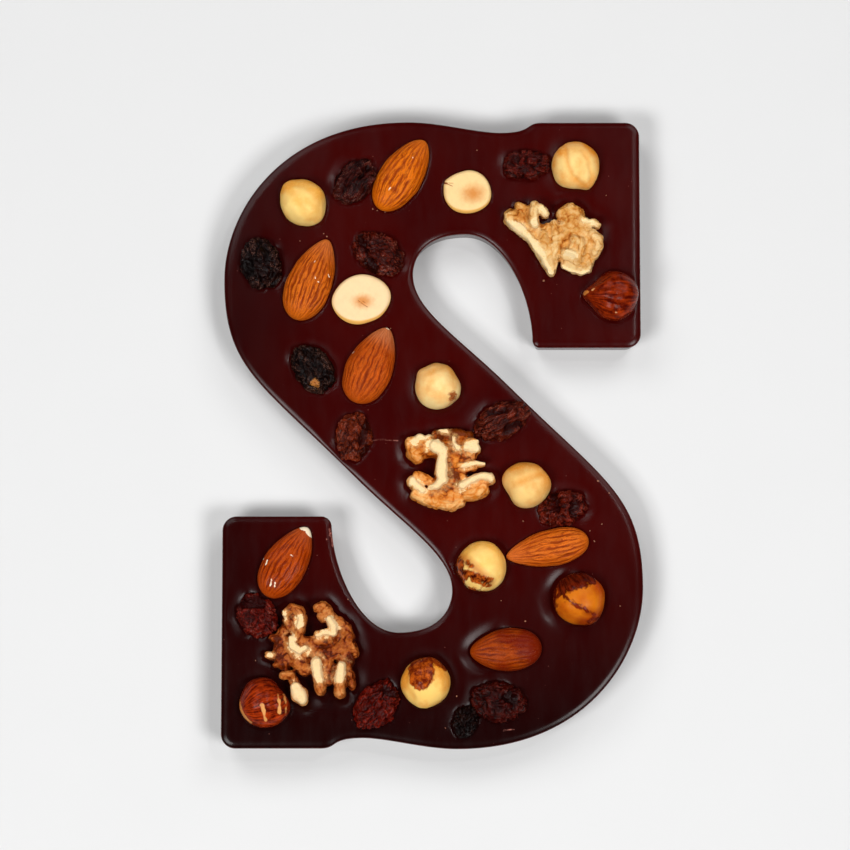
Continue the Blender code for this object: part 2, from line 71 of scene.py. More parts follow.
# The outline looks the same turned half round, so one half is drawn: from the far left of the upper bowl,
# over the top, round the serif, up into the counter and down the spine to the far right. A place is x, y,
# heading in degrees, the reach of the curve before and after it, and how many straight pieces the run after
# it has.
BOWL_SIDE = (-0.0559, 0.0415, 90, 0.0245, 0.0180, 60)
CREST = (-0.0066, 0.0843, 0, 0.0345, 0.0090, 26)
DIP = (0.0186, 0.0814, 0, 0.0070, 0.0085, 14)
SERIF_START = (0.0295, 0.08415, 0, 0.0045, 0.0, 1)
COUNTER_MOUTH = (0.02675, 0.0260, 93, 0.0, 0.0115, 40)
COUNTER_CREST = (0.0090, 0.05355, 180, 0.0100, 0.0125, 26)
COUNTER_SIDE = (-0.0052, 0.0425, -90, 0.0030, 0.0095, 44)
SPINE_MIDDLE = (0.0209, 0.0119, -45, 0.0195, 0.0360, 62)
FAR_SIDE = (0.0559, -0.0415, -90, 0.0245, 0.0180, 60)
SERIF_RIGHT = 0.05585
SERIF_LEFT = 0.0268
SERIF_TOP = 0.08415
SERIF_FOOT = 0.02265
SERIF_OUTER_ROUND = 0.0038
UPPER_INNER_ROUND = 0.0020
LOWER_INNER_ROUND = 0.0028
CORNER_PIECES = 12
STRAIGHT_PIECE = 1.0 * MM


def facing(heading):
    turned = math.radians(heading)
    return Vector((math.cos(turned), math.sin(turned)))


def run_between(start, end):
    x0, y0, heading0, _, reach0, pieces = start
    x1, y1, heading1, reach1, _, _ = end
    leave = Vector((x0, y0)) + facing(heading0) * reach0
    arrive = Vector((x1, y1)) - facing(heading1) * reach1
    return interpolate_bezier(Vector((x0, y0)), leave, arrive, Vector((x1, y1)), pieces + 1)[:-1]


def rounded_corner(x, y, heading_in, radius):
    """An arc that turns a clockwise outline through a right angle inside the given corner."""
    ahead = facing(heading_in)
    right = Vector((ahead.y, -ahead.x))
    middle = Vector((x, y)) - ahead * radius + right * radius
    points = []
    for piece in range(CORNER_PIECES + 1):
        turned = math.radians(90) * piece / CORNER_PIECES
        points.append(middle - right * radius * math.cos(turned) + ahead * radius * math.sin(turned))
    return points


def half_outline(inner_round):
    points = run_between(BOWL_SIDE, CREST) + run_between(CREST, DIP) + run_between(DIP, SERIF_START)
    points.append(Vector(SERIF_START[:2]))
    points += rounded_corner(SERIF_RIGHT, SERIF_TOP, 0, SERIF_OUTER_ROUND)
    points += rounded_corner(SERIF_RIGHT, SERIF_FOOT, -90, SERIF_OUTER_ROUND)
    points += rounded_corner(SERIF_LEFT, SERIF_FOOT, 180, inner_round)
    points += run_between(COUNTER_MOUTH, COUNTER_CREST) + run_between(COUNTER_CREST, COUNTER_SIDE)
    points += run_between(COUNTER_SIDE, SPINE_MIDDLE) + run_between(SPINE_MIDDLE, FAR_SIDE)
    return points


def letter_outline():
    """The whole outline, clockwise, with its long straights divided too."""
    drawn = half_outline(UPPER_INNER_ROUND) + [-point for point in half_outline(LOWER_INNER_ROUND)]
    points = []
    for start, end in zip(drawn, drawn[1:] + drawn[:1]):
        pieces = max(1, round((end - start).length / STRAIGHT_PIECE))
        points += [start.lerp(end, piece / pieces) for piece in range(pieces)]
    return np.array(points)


def drawn_in(outline, distance):
    """The outline moved in by the same distance all round."""
    run = np.roll(outline, -1, axis=0) - outline
    run /= np.linalg.norm(run, axis=1)[:, None]
    inward = np.stack((run[:, 1], -run[:, 0]), axis=1)
    both = inward + np.roll(inward, 1, axis=0)
    both /= np.linalg.norm(both, axis=1)[:, None]
    return outline + both * (distance / np.sum(both * inward, axis=1))[:, None]


def distance_in(points, outline):
    """How far in from the outline each point lies; negative outside it."""
    x, y = points.T
    inside = np.zeros(len(points), bool)
    nearest = np.full(len(points), np.inf)
    for start, end in zip(outline, np.roll(outline, -1, axis=0)):
        run = end - start
        if run[1] != 0:
            crossed = (start[1] > y) != (end[1] > y)
            inside ^= crossed & (x < start[0] + (y - start[1]) / run[1] * run[0])
        along = np.clip(((x - start[0]) * run[0] + (y - start[1]) * run[1]) / (run @ run), 0, 1)
        away = (x - start[0] - along * run[0]) ** 2 + (y - start[1] - along * run[1]) ** 2
        np.minimum(nearest, away, out=nearest)
    nearest = np.sqrt(nearest)
    return np.where(inside, nearest, -nearest)


def points_inside(outline, step, clear):
    """Staggered rows of points that lie further in than the given distance, and how far in each is."""
    low = outline.min(axis=0)
    high = outline.max(axis=0)
    rows = []
    row_gap = step * math.sqrt(3) / 2
    for row, y in enumerate(np.arange(low[1], high[1], row_gap)):
        x = np.arange(low[0] + (row % 2) * step / 2, high[0], step)
        rows.append(np.stack((x, np.full(len(x), y)), axis=1))
    points = np.concatenate(rows)
    inward = distance_in(points, outline)
    kept = inward > clear
    return points[kept], inward[kept]


def fall_to_rim(inward):
    """How far the poured face has dropped at a distance in from its edge."""
    rim = np.clip(1.0 - inward / RIM_ROUND, 0, 1)
    shoulder = np.clip(1.0 - inward / SHOULDER_WIDTH, 0, 1)
    return RIM_ROUND * (1.0 - np.sqrt(1.0 - rim ** 2)) + SHOULDER_DROP * shoulder ** 2


def bar_profile():
    """Distance in and height of each ring, from the innermost on the top, over the rim, to the foot."""
    profile = [(inward, TOP - float(fall_to_rim(inward))) for inward in reversed(RIM_RINGS)]
    wall_top = profile[-1][1]
    for ring in range(1, WALL_RINGS + 1):
        height = wall_top + (FOOT_ROUND - wall_top) * ring / WALL_RINGS
        profile.append((DRAFT * (1.0 - height / wall_top), height))
    foot_in = profile[-1][0]
    for ring in range(1, FOOT_RINGS + 1):
        turned = math.radians(90) * ring / FOOT_RINGS
        profile.append((foot_in + FOOT_ROUND * (1 - math.cos(turned)), FOOT_ROUND * (1 - math.sin(turned))))
    return profile


def triangles_over(ring, inner):
    """Triangles that fill a ring through the points inside it, as indices into ring followed by inner."""
    flat = [Vector(point) for point in np.concatenate((ring, inner)).tolist()]
    _, _, faces, origin, _, _ = delaunay_2d_cdt(flat, [], [list(range(len(ring)))], FILL_INSIDE, SAME_POINT)
    return [[origin[corner][0] for corner in face] for face in faces]


def mesh_of(name, points, faces):
    mesh = bpy.data.meshes.new(name)
    mesh.from_pydata(points.tolist(), [], faces)
    mesh.shade_smooth()
    return mesh


def on_scene(name, data):
    made = bpy.data.objects.new(name, data)
    bpy.context.scene.collection.objects.link(made)
    return made


def hold(mesh, name, values):
    """Keeps a number, or a vector, for each point of a mesh, for its finish to read."""
    if values.ndim == 1:
        mesh.attributes.new(name, "FLOAT", "POINT").data.foreach_set("value", values.astype(np.float32))
    else:
        kept = mesh.attributes.new(name, "FLOAT_VECTOR", "POINT")
        kept.data.foreach_set("vector", values.astype(np.float32).ravel())


def read_points(mesh):
    points = np.empty(len(mesh.vertices) * 3)
    mesh.vertices.foreach_get("co", points)
    return points.reshape(-1, 3)


def write_points(mesh, points):
    mesh.vertices.foreach_set("co", points.ravel())
    mesh.update()


OUTSIDE = -9.0


def inside_lines(points, lines):
    """How far inside the nearest line each point is, seen from above, in millimetres; negative outside it. A
    line is its half width and the places it passes through; a place may have a half width of its own."""
    best = np.full(len(points), OUTSIDE)
    flat = points[:, :2] / MM
    for half, *places in lines:
        for start, end in zip(places, places[1:] or places):
            run = np.subtract(end[:2], start[:2])
            along = np.clip(((flat - start[:2]) @ run) / max(run @ run, 1e-9), 0, 1)
            away = np.linalg.norm(flat - start[:2] - along[:, None] * run, axis=1)
            if len(start) > 2:
                half = start[2] + (end[2] - start[2]) * along
            best = np.maximum(best, half - away)
    return best


def soft_step(value):
    held_in = np.clip(value, 0, 1)
    return held_in * held_in * (3 - 2 * held_in)


def lumps(points, size, seed):
    """Smooth lumps and hollows of about the given size: one number near -0.7 to 0.7 for each point."""
    return np.array([noise.noise(point) for point in (points / size + seed).tolist()])


def cast_letter():
    outline = letter_outline()
    count = len(outline)
    profile = bar_profile()
    rings = [np.column_stack((drawn_in(outline, inward), np.full(count, height)))
             for inward, height in profile]
    from_rim = [np.full(count, inward if height > TOP - 2 * SHOULDER_DROP else height - TOP)
                for inward, height in profile]
    inner, inner_in = points_inside(outline, TOP_STEP, RIM_RINGS[-1] + NEXT_TO_RING * TOP_STEP)
    under, _ = points_inside(outline, UNDERSIDE_STEP, DRAFT + FOOT_ROUND + NEXT_TO_RING * UNDERSIDE_STEP)
    top_points = np.column_stack((inner, TOP - fall_to_rim(inner_in)))
    under_points = np.column_stack((under, np.zeros(len(under))))
    points = np.concatenate(rings + [top_points, under_points])
    faces = []
    for ring in range(len(rings) - 1):
        for here in range(count):
            ahead = (here + 1) % count
            near, far = ring * count, (ring + 1) * count
            faces.append((near + here, near + ahead, far + ahead, far + here))
    top_start = len(rings) * count
    for face in triangles_over(rings[0][:, :2], inner):
        faces.append([corner if corner < count else corner - count + top_start for corner in face])
    last_ring = (len(rings) - 1) * count
    under_start = top_start + len(inner)
    for face in triangles_over(rings[-1][:, :2], under):
        turned = [corner + last_ring if corner < count else corner - count + under_start for corner in face]
        faces.append(turned[::-1])
    mesh = mesh_of("letter_bar", points, faces)
    hold(mesh, "from_rim_mm", np.concatenate(from_rim + [inner_in, np.full(len(under), -TOP)]) / MM)
    return mesh


def srgb(red, green, blue):
    """A colour given as it shows on a screen, 0 to 255, as the light that a surface gives back."""
    def light(value):
        value /= 255
        return value / 12.92 if value <= 0.04045 else ((value + 0.055) / 1.055) ** 2.4
    return (light(red), light(green), light(blue), 1.0)


def shade(colour, *shares):
    """The colour times one share, or times one share each for its red, green and blue."""
    return tuple(min(1.0, part * share) for part, share in zip(colour, shares * (3 // len(shares)))) + (1.0,)


class Finish:
    """The finish of one food: a shader and the textures that feed it."""

    def __init__(self, name, roughness):
        self.material = bpy.data.materials.new(name)
        self.material.use_nodes = True
        self.tree = self.material.node_tree
        self.shader = self.tree.nodes["Principled BSDF"]
        self.shader.inputs["Roughness"].default_value = roughness
        self.place = self.tree.nodes.new("ShaderNodeTexCoord").outputs["Object"]

    def node(self, kind, **settings):
        made = self.tree.nodes.new(kind)
        for name, value in settings.items():
            setattr(made, name, value)
        return made

    def feed(self, socket, value):
        if isinstance(value, bpy.types.NodeSocket):
            self.tree.links.new(value, socket)
        else:
            socket.default_value = value

    def set(self, socket, value):
        self.feed(self.shader.inputs[socket], value)

    def held(self, name, output="Fac"):
        return self.node("ShaderNodeAttribute", attribute_name=name).outputs[output]

    def mottle(self, size, detail=3.0, harshness=0.5, where=None):
        """Cloudy noise of the given size, about 0.3 to 0.7."""
        made = self.node("ShaderNodeTexNoise")
        self.feed(made.inputs["Vector"], where or self.place)
        self.feed(made.inputs["Scale"], 1.0 / size)
        self.feed(made.inputs["Detail"], detail)
        self.feed(made.inputs["Roughness"], harshness)
        return made.outputs["Fac"]

    def clouds(self, low, high, size, detail=3.0, harshness=0.5, where=None):
        """The same noise, laid over the range from low to high."""
        return self.spread(self.mottle(size, detail, harshness, where), 0.3, 0.7, low, high)

    def cells(self, size):
        made = self.node("ShaderNodeTexVoronoi")
        self.feed(made.inputs["Vector"], self.place)
        self.feed(made.inputs["Scale"], 1.0 / size)
        return made.outputs["Distance"]

    def stretch(self, scale):
        made = self.node("ShaderNodeMapping")
        self.feed(made.inputs["Vector"], self.place)
        self.feed(made.inputs["Scale"], scale)
        return made.outputs["Vector"]

    def spread(self, value, low, high, to_low=0.0, to_high=1.0):
        """The value's range from low to high laid over another range, held at its ends."""
        made = self.node("ShaderNodeMapRange")
        for socket, number in zip(made.inputs[:5], (value, low, high, to_low, to_high)):
            self.feed(socket, number)
        return made.outputs["Result"]

    def reckon(self, operation, first, second=0.0):
        made = self.node("ShaderNodeMath", operation=operation)
        self.feed(made.inputs[0], first)
        self.feed(made.inputs[1], second)
        return made.outputs["Value"]

    def plus(self, total, *others):
        for other in others:
            total = self.reckon("ADD", total, other)
        return total

    def times(self, total, *others):
        for other in others:
            total = self.reckon("MULTIPLY", total, other)
        return total

    def ramp(self, value, *stops):
        """Colours along a value; a stop is its place and its colour."""
        made = self.node("ShaderNodeValToRGB")
        self.feed(made.inputs["Fac"], value)
        steps = made.color_ramp.elements
        while len(steps) < len(stops):
            steps.new(0.5)
        for step, (place, colour) in zip(steps, stops):
            step.position = place
            step.color = colour
        return made.outputs["Color"]

    def mix(self, share, first, second):
        made = self.node("ShaderNodeMix", data_type="RGBA")
        share_in, _, _, _, _, _, first_in, second_in = made.inputs[:8]
        self.feed(share_in, share)
        self.feed(first_in, first)
        self.feed(second_in, second)
        return made.outputs[2]

    def bump(self, height, depth, over=None):
        made = self.node("ShaderNodeBump")
        self.feed(made.inputs["Height"], height)
        self.feed(made.inputs["Distance"], depth)
        if over is not None:
            self.feed(made.inputs["Normal"], over)
        return made.outputs["Normal"]

    def flesh(self, share, colours, depth):
        """Lets light a little way in, with how far each colour of it goes."""
        self.set("Subsurface Weight", share)
        self.set("Subsurface Radius", colours)
        self.set("Subsurface Scale", depth)


CHOCOLATE = srgb(52, 1, 1)
CHOCOLATE_WARM = srgb(58, 2, 1)
CHOCOLATE_SHADED = srgb(24, 1, 1)
# The colour of a painted highlight along the rim
CHOCOLATE_RIM_HIGHLIGHT = srgb(104, 44, 38)
CHOCOLATE_DUST = srgb(168, 104, 92)
# Scratches and chips in the chocolate: half width and line, in millimetres from the middle of the letter
SCUFFS = ((0.16, (-16.8, -2.3), (-13.0, -2.2), (-9.2, -2.4)), (0.14, (-27.0, -27.4), (-28.2, -29.0)),
          (0.22, (-27.4, -26.2), (-26.6, -28.6), (-26.5, -31.0)), (0.18, (18.6, -79.4), (21.4, -79.2)))
# Painted shade: the face is darker towards its foot and its left: the y and the x where that starts, and
# where it is full
SHADED_DOWN = (-0.026, -0.080)
SHADED_LEFT = (-0.026, -0.052)
CHOCOLATE_GLOSS = 0.15
CHOCOLATE_ROUGHNESS = (0.19, 0.27)


def chocolate_finish():
    made = Finish("dark_chocolate", 0.2)
    made.set("Specular IOR Level", CHOCOLATE_GLOSS)
    tone = made.ramp(made.mottle(22 * MM, 2.0), (0.38, CHOCOLATE), (0.62, CHOCOLATE_WARM))
    apart = made.node("ShaderNodeSeparateXYZ")
    made.feed(apart.inputs[0], made.place)
    # Painted shade: the face darker towards its foot and its left
    tone = made.mix(made.spread(apart.outputs["Y"], *SHADED_DOWN), tone, CHOCOLATE_SHADED)
    tone = made.mix(made.spread(apart.outputs["X"], *SHADED_LEFT, 0.0, 0.6), tone, CHOCOLATE_SHADED)
    # Painted highlight: a thin pale line along the rim, where its rounded edge catches the light, broken
    # into patches
    rim_highlight = made.spread(made.reckon("ABSOLUTE", made.held("from_rim_mm")), 0.05, 0.32, 1.0, 0.0)
    worn = made.spread(made.mottle(0.9 * MM, 5.0, 0.7), 0.40, 0.60)
    tone = made.mix(made.times(rim_highlight, worn, 0.8), tone, CHOCOLATE_RIM_HIGHLIGHT)
    scuffed = made.spread(made.held("scuff_mm"), -0.10, 0.06)
    tone = made.mix(made.times(scuffed, worn), tone, CHOCOLATE_DUST)
    dots = made.spread(made.cells(2.6 * MM), 0.025, 0.05, 1.0, 0.0)
    some = made.spread(made.mottle(9 * MM, 2.0), 0.44, 0.60)
    made.set("Base Color", made.mix(made.times(dots, some, 0.6), tone, CHOCOLATE_DUST))
    smeared = made.stretch((1.0, 0.25, 1.0))
    made.set("Roughness", made.clouds(*CHOCOLATE_ROUGHNESS, 3.0 * MM, 5.0, 0.65, smeared))
    soft = made.bump(made.mottle(5.0 * MM, 2.0, 0.4), 0.03 * MM)
    made.set("Normal", made.bump(made.mottle(0.35 * MM, 3.0, 0.5), 0.002 * MM, soft))
    return made.material


letter_bar = on_scene("letter_bar", cast_letter())
hold(letter_bar.data, "scuff_mm", inside_lines(read_points(letter_bar.data), SCUFFS))
letter_bar.data.materials.append(chocolate_finish())
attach(letter_bar, "root")
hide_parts("letter")

# The almonds are whole and raw, in their brown skins: a flattened drop whose skin is drawn into long wavy
# furrows from the blunt end to the tip. Each is pressed flat into the soft chocolate, which closes up to
# it.
ALMOND_DEPTH = 0.66
ALMOND_LIFT = 0.6 * MM
ALMOND_BELLY = 0.20
ALMOND_TAPER = 0.25
ALMOND_SIDES = 150
ALMOND_RINGS = 84
CROWDING = 0.4
FURROW_SWAY = 0.017
FURROW_SHOWN = 0.24 * MM
FINE_FURROW = 0.62 * MM
FINE_STRETCH = 0.16
FINE_WIDTH = 0.16
ALMOND_UNEVEN = 0.28 * MM
ALMOND_GLOSS = 0.06
ALMOND_FLESH_AND_GLINT = srgb(250, 232, 200)
# The colour of painted shade at an almond's blunt end
ALMOND_BLUNT_END_SHADE = srgb(104, 14, 0)
ALMOND_DUST = srgb(214, 150, 104)

# Centre x and y, length, width, heading of the tip, how drawn out it is; the skin's colour, depth of the
# furrows and how many go round it; its roughness, and how dusty its tip is
ALMONDS = {
    "almond_1": (-0.0082, 0.0695, 0.0223, 0.0116, 57, 0.5, srgb(198, 94, 6), 0.24 * MM, 20, 0.34, 0.1),
    "almond_2": (-0.0325, 0.0410, 0.0233, 0.0120, 68, 0.9, srgb(188, 88, 14), 0.30 * MM, 25, 0.34, 0.4),
    "almond_3": (-0.0164, 0.0178, 0.0219, 0.0125, 66, 0.9, srgb(172, 70, 8), 0.12 * MM, 25, 0.55, 1.0),
    "almond_4": (-0.0386, -0.0349, 0.0212, 0.0115, 59, 0.8, srgb(160, 58, 5), 0.16 * MM, 22, 0.20, 0.2),
    "almond_5": (0.0305, -0.0313, 0.0223, 0.0097, 192, 1.0, srgb(190, 88, 16), 0.20 * MM, 19, 0.42, 0.2),
    "almond_6": (0.0194, -0.0582, 0.0190, 0.0113, 184, 0.6, srgb(143, 52, 2), 0.14 * MM, 21, 0.30, 0.0),
}
# Where the skin is off, and painted glints where it catches the light: half width and line, in millimetres
# from the almond's centre
ALMOND_BARE_AND_GLINTS = {
    "almond_1": ((0.14, (-3.4, -4.6), (-3.1, -4.2)), (0.10, (2.8, 4.0), (3.0, 4.4))),
    "almond_2": ((0.16, (1.2, 0.3), (1.3, -0.3)), (0.12, (4.7, 0.9), (4.9, 0.3)),
                 (0.12, (1.0, 4.2), (1.2, 4.6)), (0.25, (5.9, 9.4), (6.6, 8.6)),
                 (0.12, (1.9, -1.1), (2.2, -1.5))),
    "almond_3": ((0.20, (4.2, 10.0), (4.7, 9.6)), (0.12, (-5.0, 3.0), (-4.6, 3.4))),
    "almond_4": ((0.95, (4.2, 9.3), (5.4, 8.8), (6.5, 7.4)), (0.14, (-6.3, 0.6), (-6.0, 2.4)),
                 (0.14, (-5.6, -1.2), (-5.0, 0.4)), (0.18, (-3.9, -4.9), (-4.2, -6.6)),
                 (0.14, (-2.9, -5.6), (-3.1, -6.8)), (0.12, (1.2, 1.6), (1.7, 1.2))),
}
# Painted shade: darker and redder at the blunt end
SHADED_AT_BLUNT_END = ("almond_6",)
pressed_in = {}


def ball(sides, rings):
    """A unit ball's points and faces, its poles on X, the faces crowded towards the top, where they show."""
    turned = np.arange(sides) * math.tau / sides
    turned += CROWDING * np.cos(turned)
    points = [(1.0, 0.0, 0.0)]
    for tilt in np.arange(1, rings) * math.pi / rings:
        out = math.sin(tilt)
        points += [(math.cos(tilt), out * math.cos(turn), out * math.sin(turn)) for turn in turned]
    points.append((-1.0, 0.0, 0.0))
    faces = []
    last = len(points) - 1
    for here in range(sides):
        ahead = (here + 1) % sides
        faces.append((0, 1 + here, 1 + ahead))
        faces.append((last, last - sides + ahead, last - sides + here))
        for ring in range(rings - 2):
            near = 1 + ring * sides
            faces.append((near + here, near + sides + here, near + sides + ahead, near + ahead))
    return np.array(points), faces


def unlike(name):
    """A shift of the noise that is this piece's own."""
    return np.array([(sum(ord(letter) * (place + 3) for place, letter in enumerate(name)) * step) % 97.0
                     for step in (1.37, 2.71, 5.13)])


def flat_turn(heading):
    return Matrix.Rotation(math.radians(heading), 3, "Z").to_euler()


def turned_as(points, rotation):
    """The points turned as their piece is, still about its centre."""
    return points @ np.array(rotation.to_matrix()).T


def turned_back(points, rotation):
    return points @ np.array(rotation.to_matrix())


def press_in(node, mesh, place, rotation, finish):
    """Puts a topping where its node is, and keeps its points, for the chocolate to close up to."""
    piece = on_scene(mesh.name, mesh)
    piece.location = place
    piece.rotation_euler = rotation
    mesh.materials.append(finish)
    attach(piece, "root")
    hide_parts(node)
    pressed_in[node] = turned_as(read_points(mesh), rotation) + np.array(place)


def almond_finish(name, skin, rough, dusty):
    made = Finish(name, 0.45)
    made.set("Specular IOR Level", ALMOND_GLOSS)
    pale = shade(skin, 1.3, 1.6, 2.0)
    grain = made.held("grain", "Vector")
    streaks = made.mottle(0.36 * MM, 5.0, 0.7, grain)
    tone = made.ramp(streaks, (0.36, shade(skin, 0.50)), (0.50, skin), (0.63, shade(skin, 1.45)))
    specks = made.mottle(0.38 * MM, 3.0, 0.6)
    tone = made.mix(made.spread(specks, 0.52, 0.68, 0.0, 0.55), tone, pale)
    tone = made.mix(made.spread(specks, 0.48, 0.34, 0.0, 0.5), tone, shade(skin, 0.55))
    furrow = made.held("furrow")
    # Painted highlight on the ridges between the furrows, and painted shade in the furrows
    tone = made.mix(made.spread(furrow, 0.0, 0.10, 0.50, 0.0), tone, shade(skin, 1.35, 1.6, 2.0))
    tone = made.mix(made.spread(furrow, 0.12, 0.55, 0.0, 0.95), tone, shade(skin, 0.42, 0.24, 0.0))
    patches = made.spread(made.mottle(5 * MM, 3.0), 0.42, 0.66, 0.0, 0.4)
    tone = made.mix(patches, tone, shade(skin, 0.88, 0.74, 0.2))
    # Painted shade at the blunt end
    tone = made.mix(made.held("blunt_end_shade"), tone, ALMOND_BLUNT_END_SHADE)
    powder = made.spread(made.mottle(0.18 * MM, 2.0), 0.60, 0.74, 0.0, 0.25)
    at_tip = made.times(made.held("tip"), dusty, made.spread(streaks, 0.3, 0.6), 0.5)
    tone = made.mix(made.reckon("MAXIMUM", powder, at_tip), tone, ALMOND_DUST)
    # Bare flesh where the skin is off, and painted glints, both in the pale flesh colour
    ragged = made.plus(made.held("bare_and_glint_mm"), made.clouds(-0.14, 0.14, 0.5 * MM, 4.0))
    made.set("Base Color", made.mix(made.spread(ragged, -0.05, 0.08), tone, ALMOND_FLESH_AND_GLINT))
    made.set("Roughness", made.clouds(rough - 0.08, rough + 0.12, 0.8 * MM, 4.0, 0.6, grain))
    made.set("Normal", made.bump(streaks, 0.08 * MM))
    return made.material


def almond(node):
    x, y, length, width, heading, drawn, skin, deep, furrows, rough, dusty = ALMONDS[node]
    unit, faces = ball(ALMOND_SIDES, ALMOND_RINGS)
    seed = unlike(node)
    along = unit[:, 0]
    out = np.hypot(unit[:, 1], unit[:, 2])
    around = unit[:, 1:] / np.maximum(out, 1e-6)[:, None]
    belly = 1.0 - ALMOND_BELLY * drawn * along
    half = width / 2 * belly * (1.0 - ALMOND_TAPER * drawn * ((1.0 + along) / 2) ** 4)
    skin_place = np.column_stack((around * 1.4, along * 1.7))
    sway = FURROW_SWAY * (lumps(skin_place, 1.1, seed) + 0.7 * lumps(skin_place, 0.36, seed + 7))
    turned = np.arctan2(around[:, 1], around[:, 0]) / math.tau + sway
    strong = np.clip(0.76 + 1.2 * lumps(skin_place, 0.6, seed + 5), 0.05, 1)
    furrow = ((1.0 - np.cos(math.tau * furrows * turned)) / 2) ** 3.0 * strong
    bent = np.column_stack((np.cos(math.tau * turned), np.sin(math.tau * turned))) * width / 2
    grain = np.column_stack((bent, along * length / 2 * FINE_STRETCH))
    fine = np.clip(1.0 - np.abs(lumps(grain, FINE_FURROW, seed + 9)) / FINE_WIDTH, 0, 1)
    broad = lumps(np.column_stack((along * length / 2, unit[:, 1:] * width / 2)), 5 * MM, seed)
    fade = 1.0 - np.abs(along) ** 5
    sunk = deep * fade * (0.85 * furrow + 0.40 * fine) - ALMOND_UNEVEN * broad * out
    reach = half * out - sunk * out ** 0.5
    across = around * reach[:, None] * (1.0, ALMOND_DEPTH)
    points = np.column_stack((along * length / 2, across))
    mesh = mesh_of(node + "_kernel", points, faces)
    hold(mesh, "grain", grain)
    shown = min(1.0, 0.2 + deep / FURROW_SHOWN)
    hold(mesh, "furrow", np.clip(0.75 * furrow + 0.50 * fine, 0, 1) * fade * shown)
    hold(mesh, "tip", soft_step((along - 0.35) * 1.8))
    rotation = flat_turn(heading)
    hold(mesh, "bare_and_glint_mm", inside_lines(turned_as(points, rotation), ALMOND_BARE_AND_GLINTS.get(node, ())))
    # Painted shade, darker and redder towards the blunt end
    blunt_end_shade = 0.85 * soft_step(0.25 - along * 1.5 + 1.2 * broad)
    hold(mesh, "blunt_end_shade", blunt_end_shade * (node in SHADED_AT_BLUNT_END))
    finish = almond_finish(node + "_skin", skin, rough, dusty)
    press_in(node, mesh, (x, y, TOP + ALMOND_LIFT), rotation, finish)


for node in ALMONDS:
    almond(node)

# The whole hazelnuts are roasted and rubbed, so most have lost their skins: a cream kernel with blunt
# corners, a small tip and soft folds. Three keep patches of skin and two still wear theirs, dark and glossy
# with pale slits.
HAZELNUT_SIDES = 112
HAZELNUT_RINGS = 64
HAZELNUT_HEIGHT = 0.96
HAZELNUT_LIFT = 1.0 * MM
HAZELNUT_POINT = 0.10
HAZELNUT_BASE = 0.94
HAZELNUT_BELLY = 0.05
SKIN_THICKNESS = 0.10 * MM
STIFF_SKIN = 0.4
CREASE_EASE = 1.6
HAZELNUT_GLOSS = 0.08
NUT_FLESH = (0.12, (1.0, 0.55, 0.25), 0.8 * MM)

# Centre x and y, length, width, heading and lift of the tip; the kernel's colour and the gold painted as
# shade at its sides
HAZELNUTS = {
    "hazelnut_1": (-0.0346, 0.0620, 0.0130, 0.0126, 35, 40, srgb(247, 208, 124), srgb(234, 160, 58)),
    "hazelnut_4": (0.0387, 0.0719, 0.0136, 0.0127, -45, 15, srgb(247, 210, 134), srgb(232, 140, 30)),
    "hazelnut_5": (0.0482, 0.0364, 0.0136, 0.0134, 180, 12, srgb(236, 196, 150), srgb(200, 120, 50)),
    "hazelnut_6": (0.0016, 0.0118, 0.0128, 0.0126, -60, 60, srgb(250, 218, 150), srgb(238, 162, 74)),
    "hazelnut_7": (0.0250, -0.0145, 0.0130, 0.0124, 20, 30, srgb(242, 200, 124), srgb(226, 144, 52)),
    "hazelnut_8": (0.0131, -0.0362, 0.0140, 0.0132, 60, 25, srgb(254, 213, 127), srgb(246, 180, 80)),
    "hazelnut_9": (0.0390, -0.0449, 0.0144, 0.0138, -60, 20, srgb(206, 112, 17), srgb(172, 62, 4)),
    "hazelnut_10": (-0.0018, -0.0667, 0.0140, 0.0131, 80, 30, srgb(250, 203, 112), srgb(232, 142, 36)),
    "hazelnut_11": (-0.0444, -0.0722, 0.0136, 0.0132, 200, 20, srgb(226, 160, 92), srgb(190, 110, 40)),
}
# Blunt corners and flats of the outline: heading, how far it stands out or lies in, in millimetres, and its
# width
CORNERS = {
    "hazelnut_1": ((135, 1.0, 22), (315, 0.6, 24), (55, -0.2, 30)),
    "hazelnut_2": ((155, 0.5, 14), (110, -0.3, 20), (335, 0.3, 30)),
    "hazelnut_3": ((5, 0.3, 22), (185, 0.2, 20), (290, -0.3, 22)),
    "hazelnut_4": ((297, 1.0, 14), (145, 0.2, 20), (225, 0.4, 20)),
    "hazelnut_5": ((178, 1.1, 16), (135, -0.5, 24), (20, 0.6, 36), (222, -0.3, 22)),
    "hazelnut_6": ((102, 0.5, 16), (140, 0.6, 18), (32, -0.6, 24), (335, 0.3, 16), (200, -0.2, 20)),
    "hazelnut_7": ((2, 0.5, 26), (158, 0.4, 22), (208, -0.8, 26), (270, -0.1, 30)),
    "hazelnut_8": ((95, 0.3, 26), (210, -0.3, 14)),
    "hazelnut_9": ((55, -0.3, 24), (300, 0.3, 30)),
    "hazelnut_10": ((95, -0.2, 16), (265, 0.3, 26)),
    "hazelnut_11": ((42, -0.9, 28), (345, 0.5, 20), (125, 0.3, 24), (235, 0.2, 20)),
}
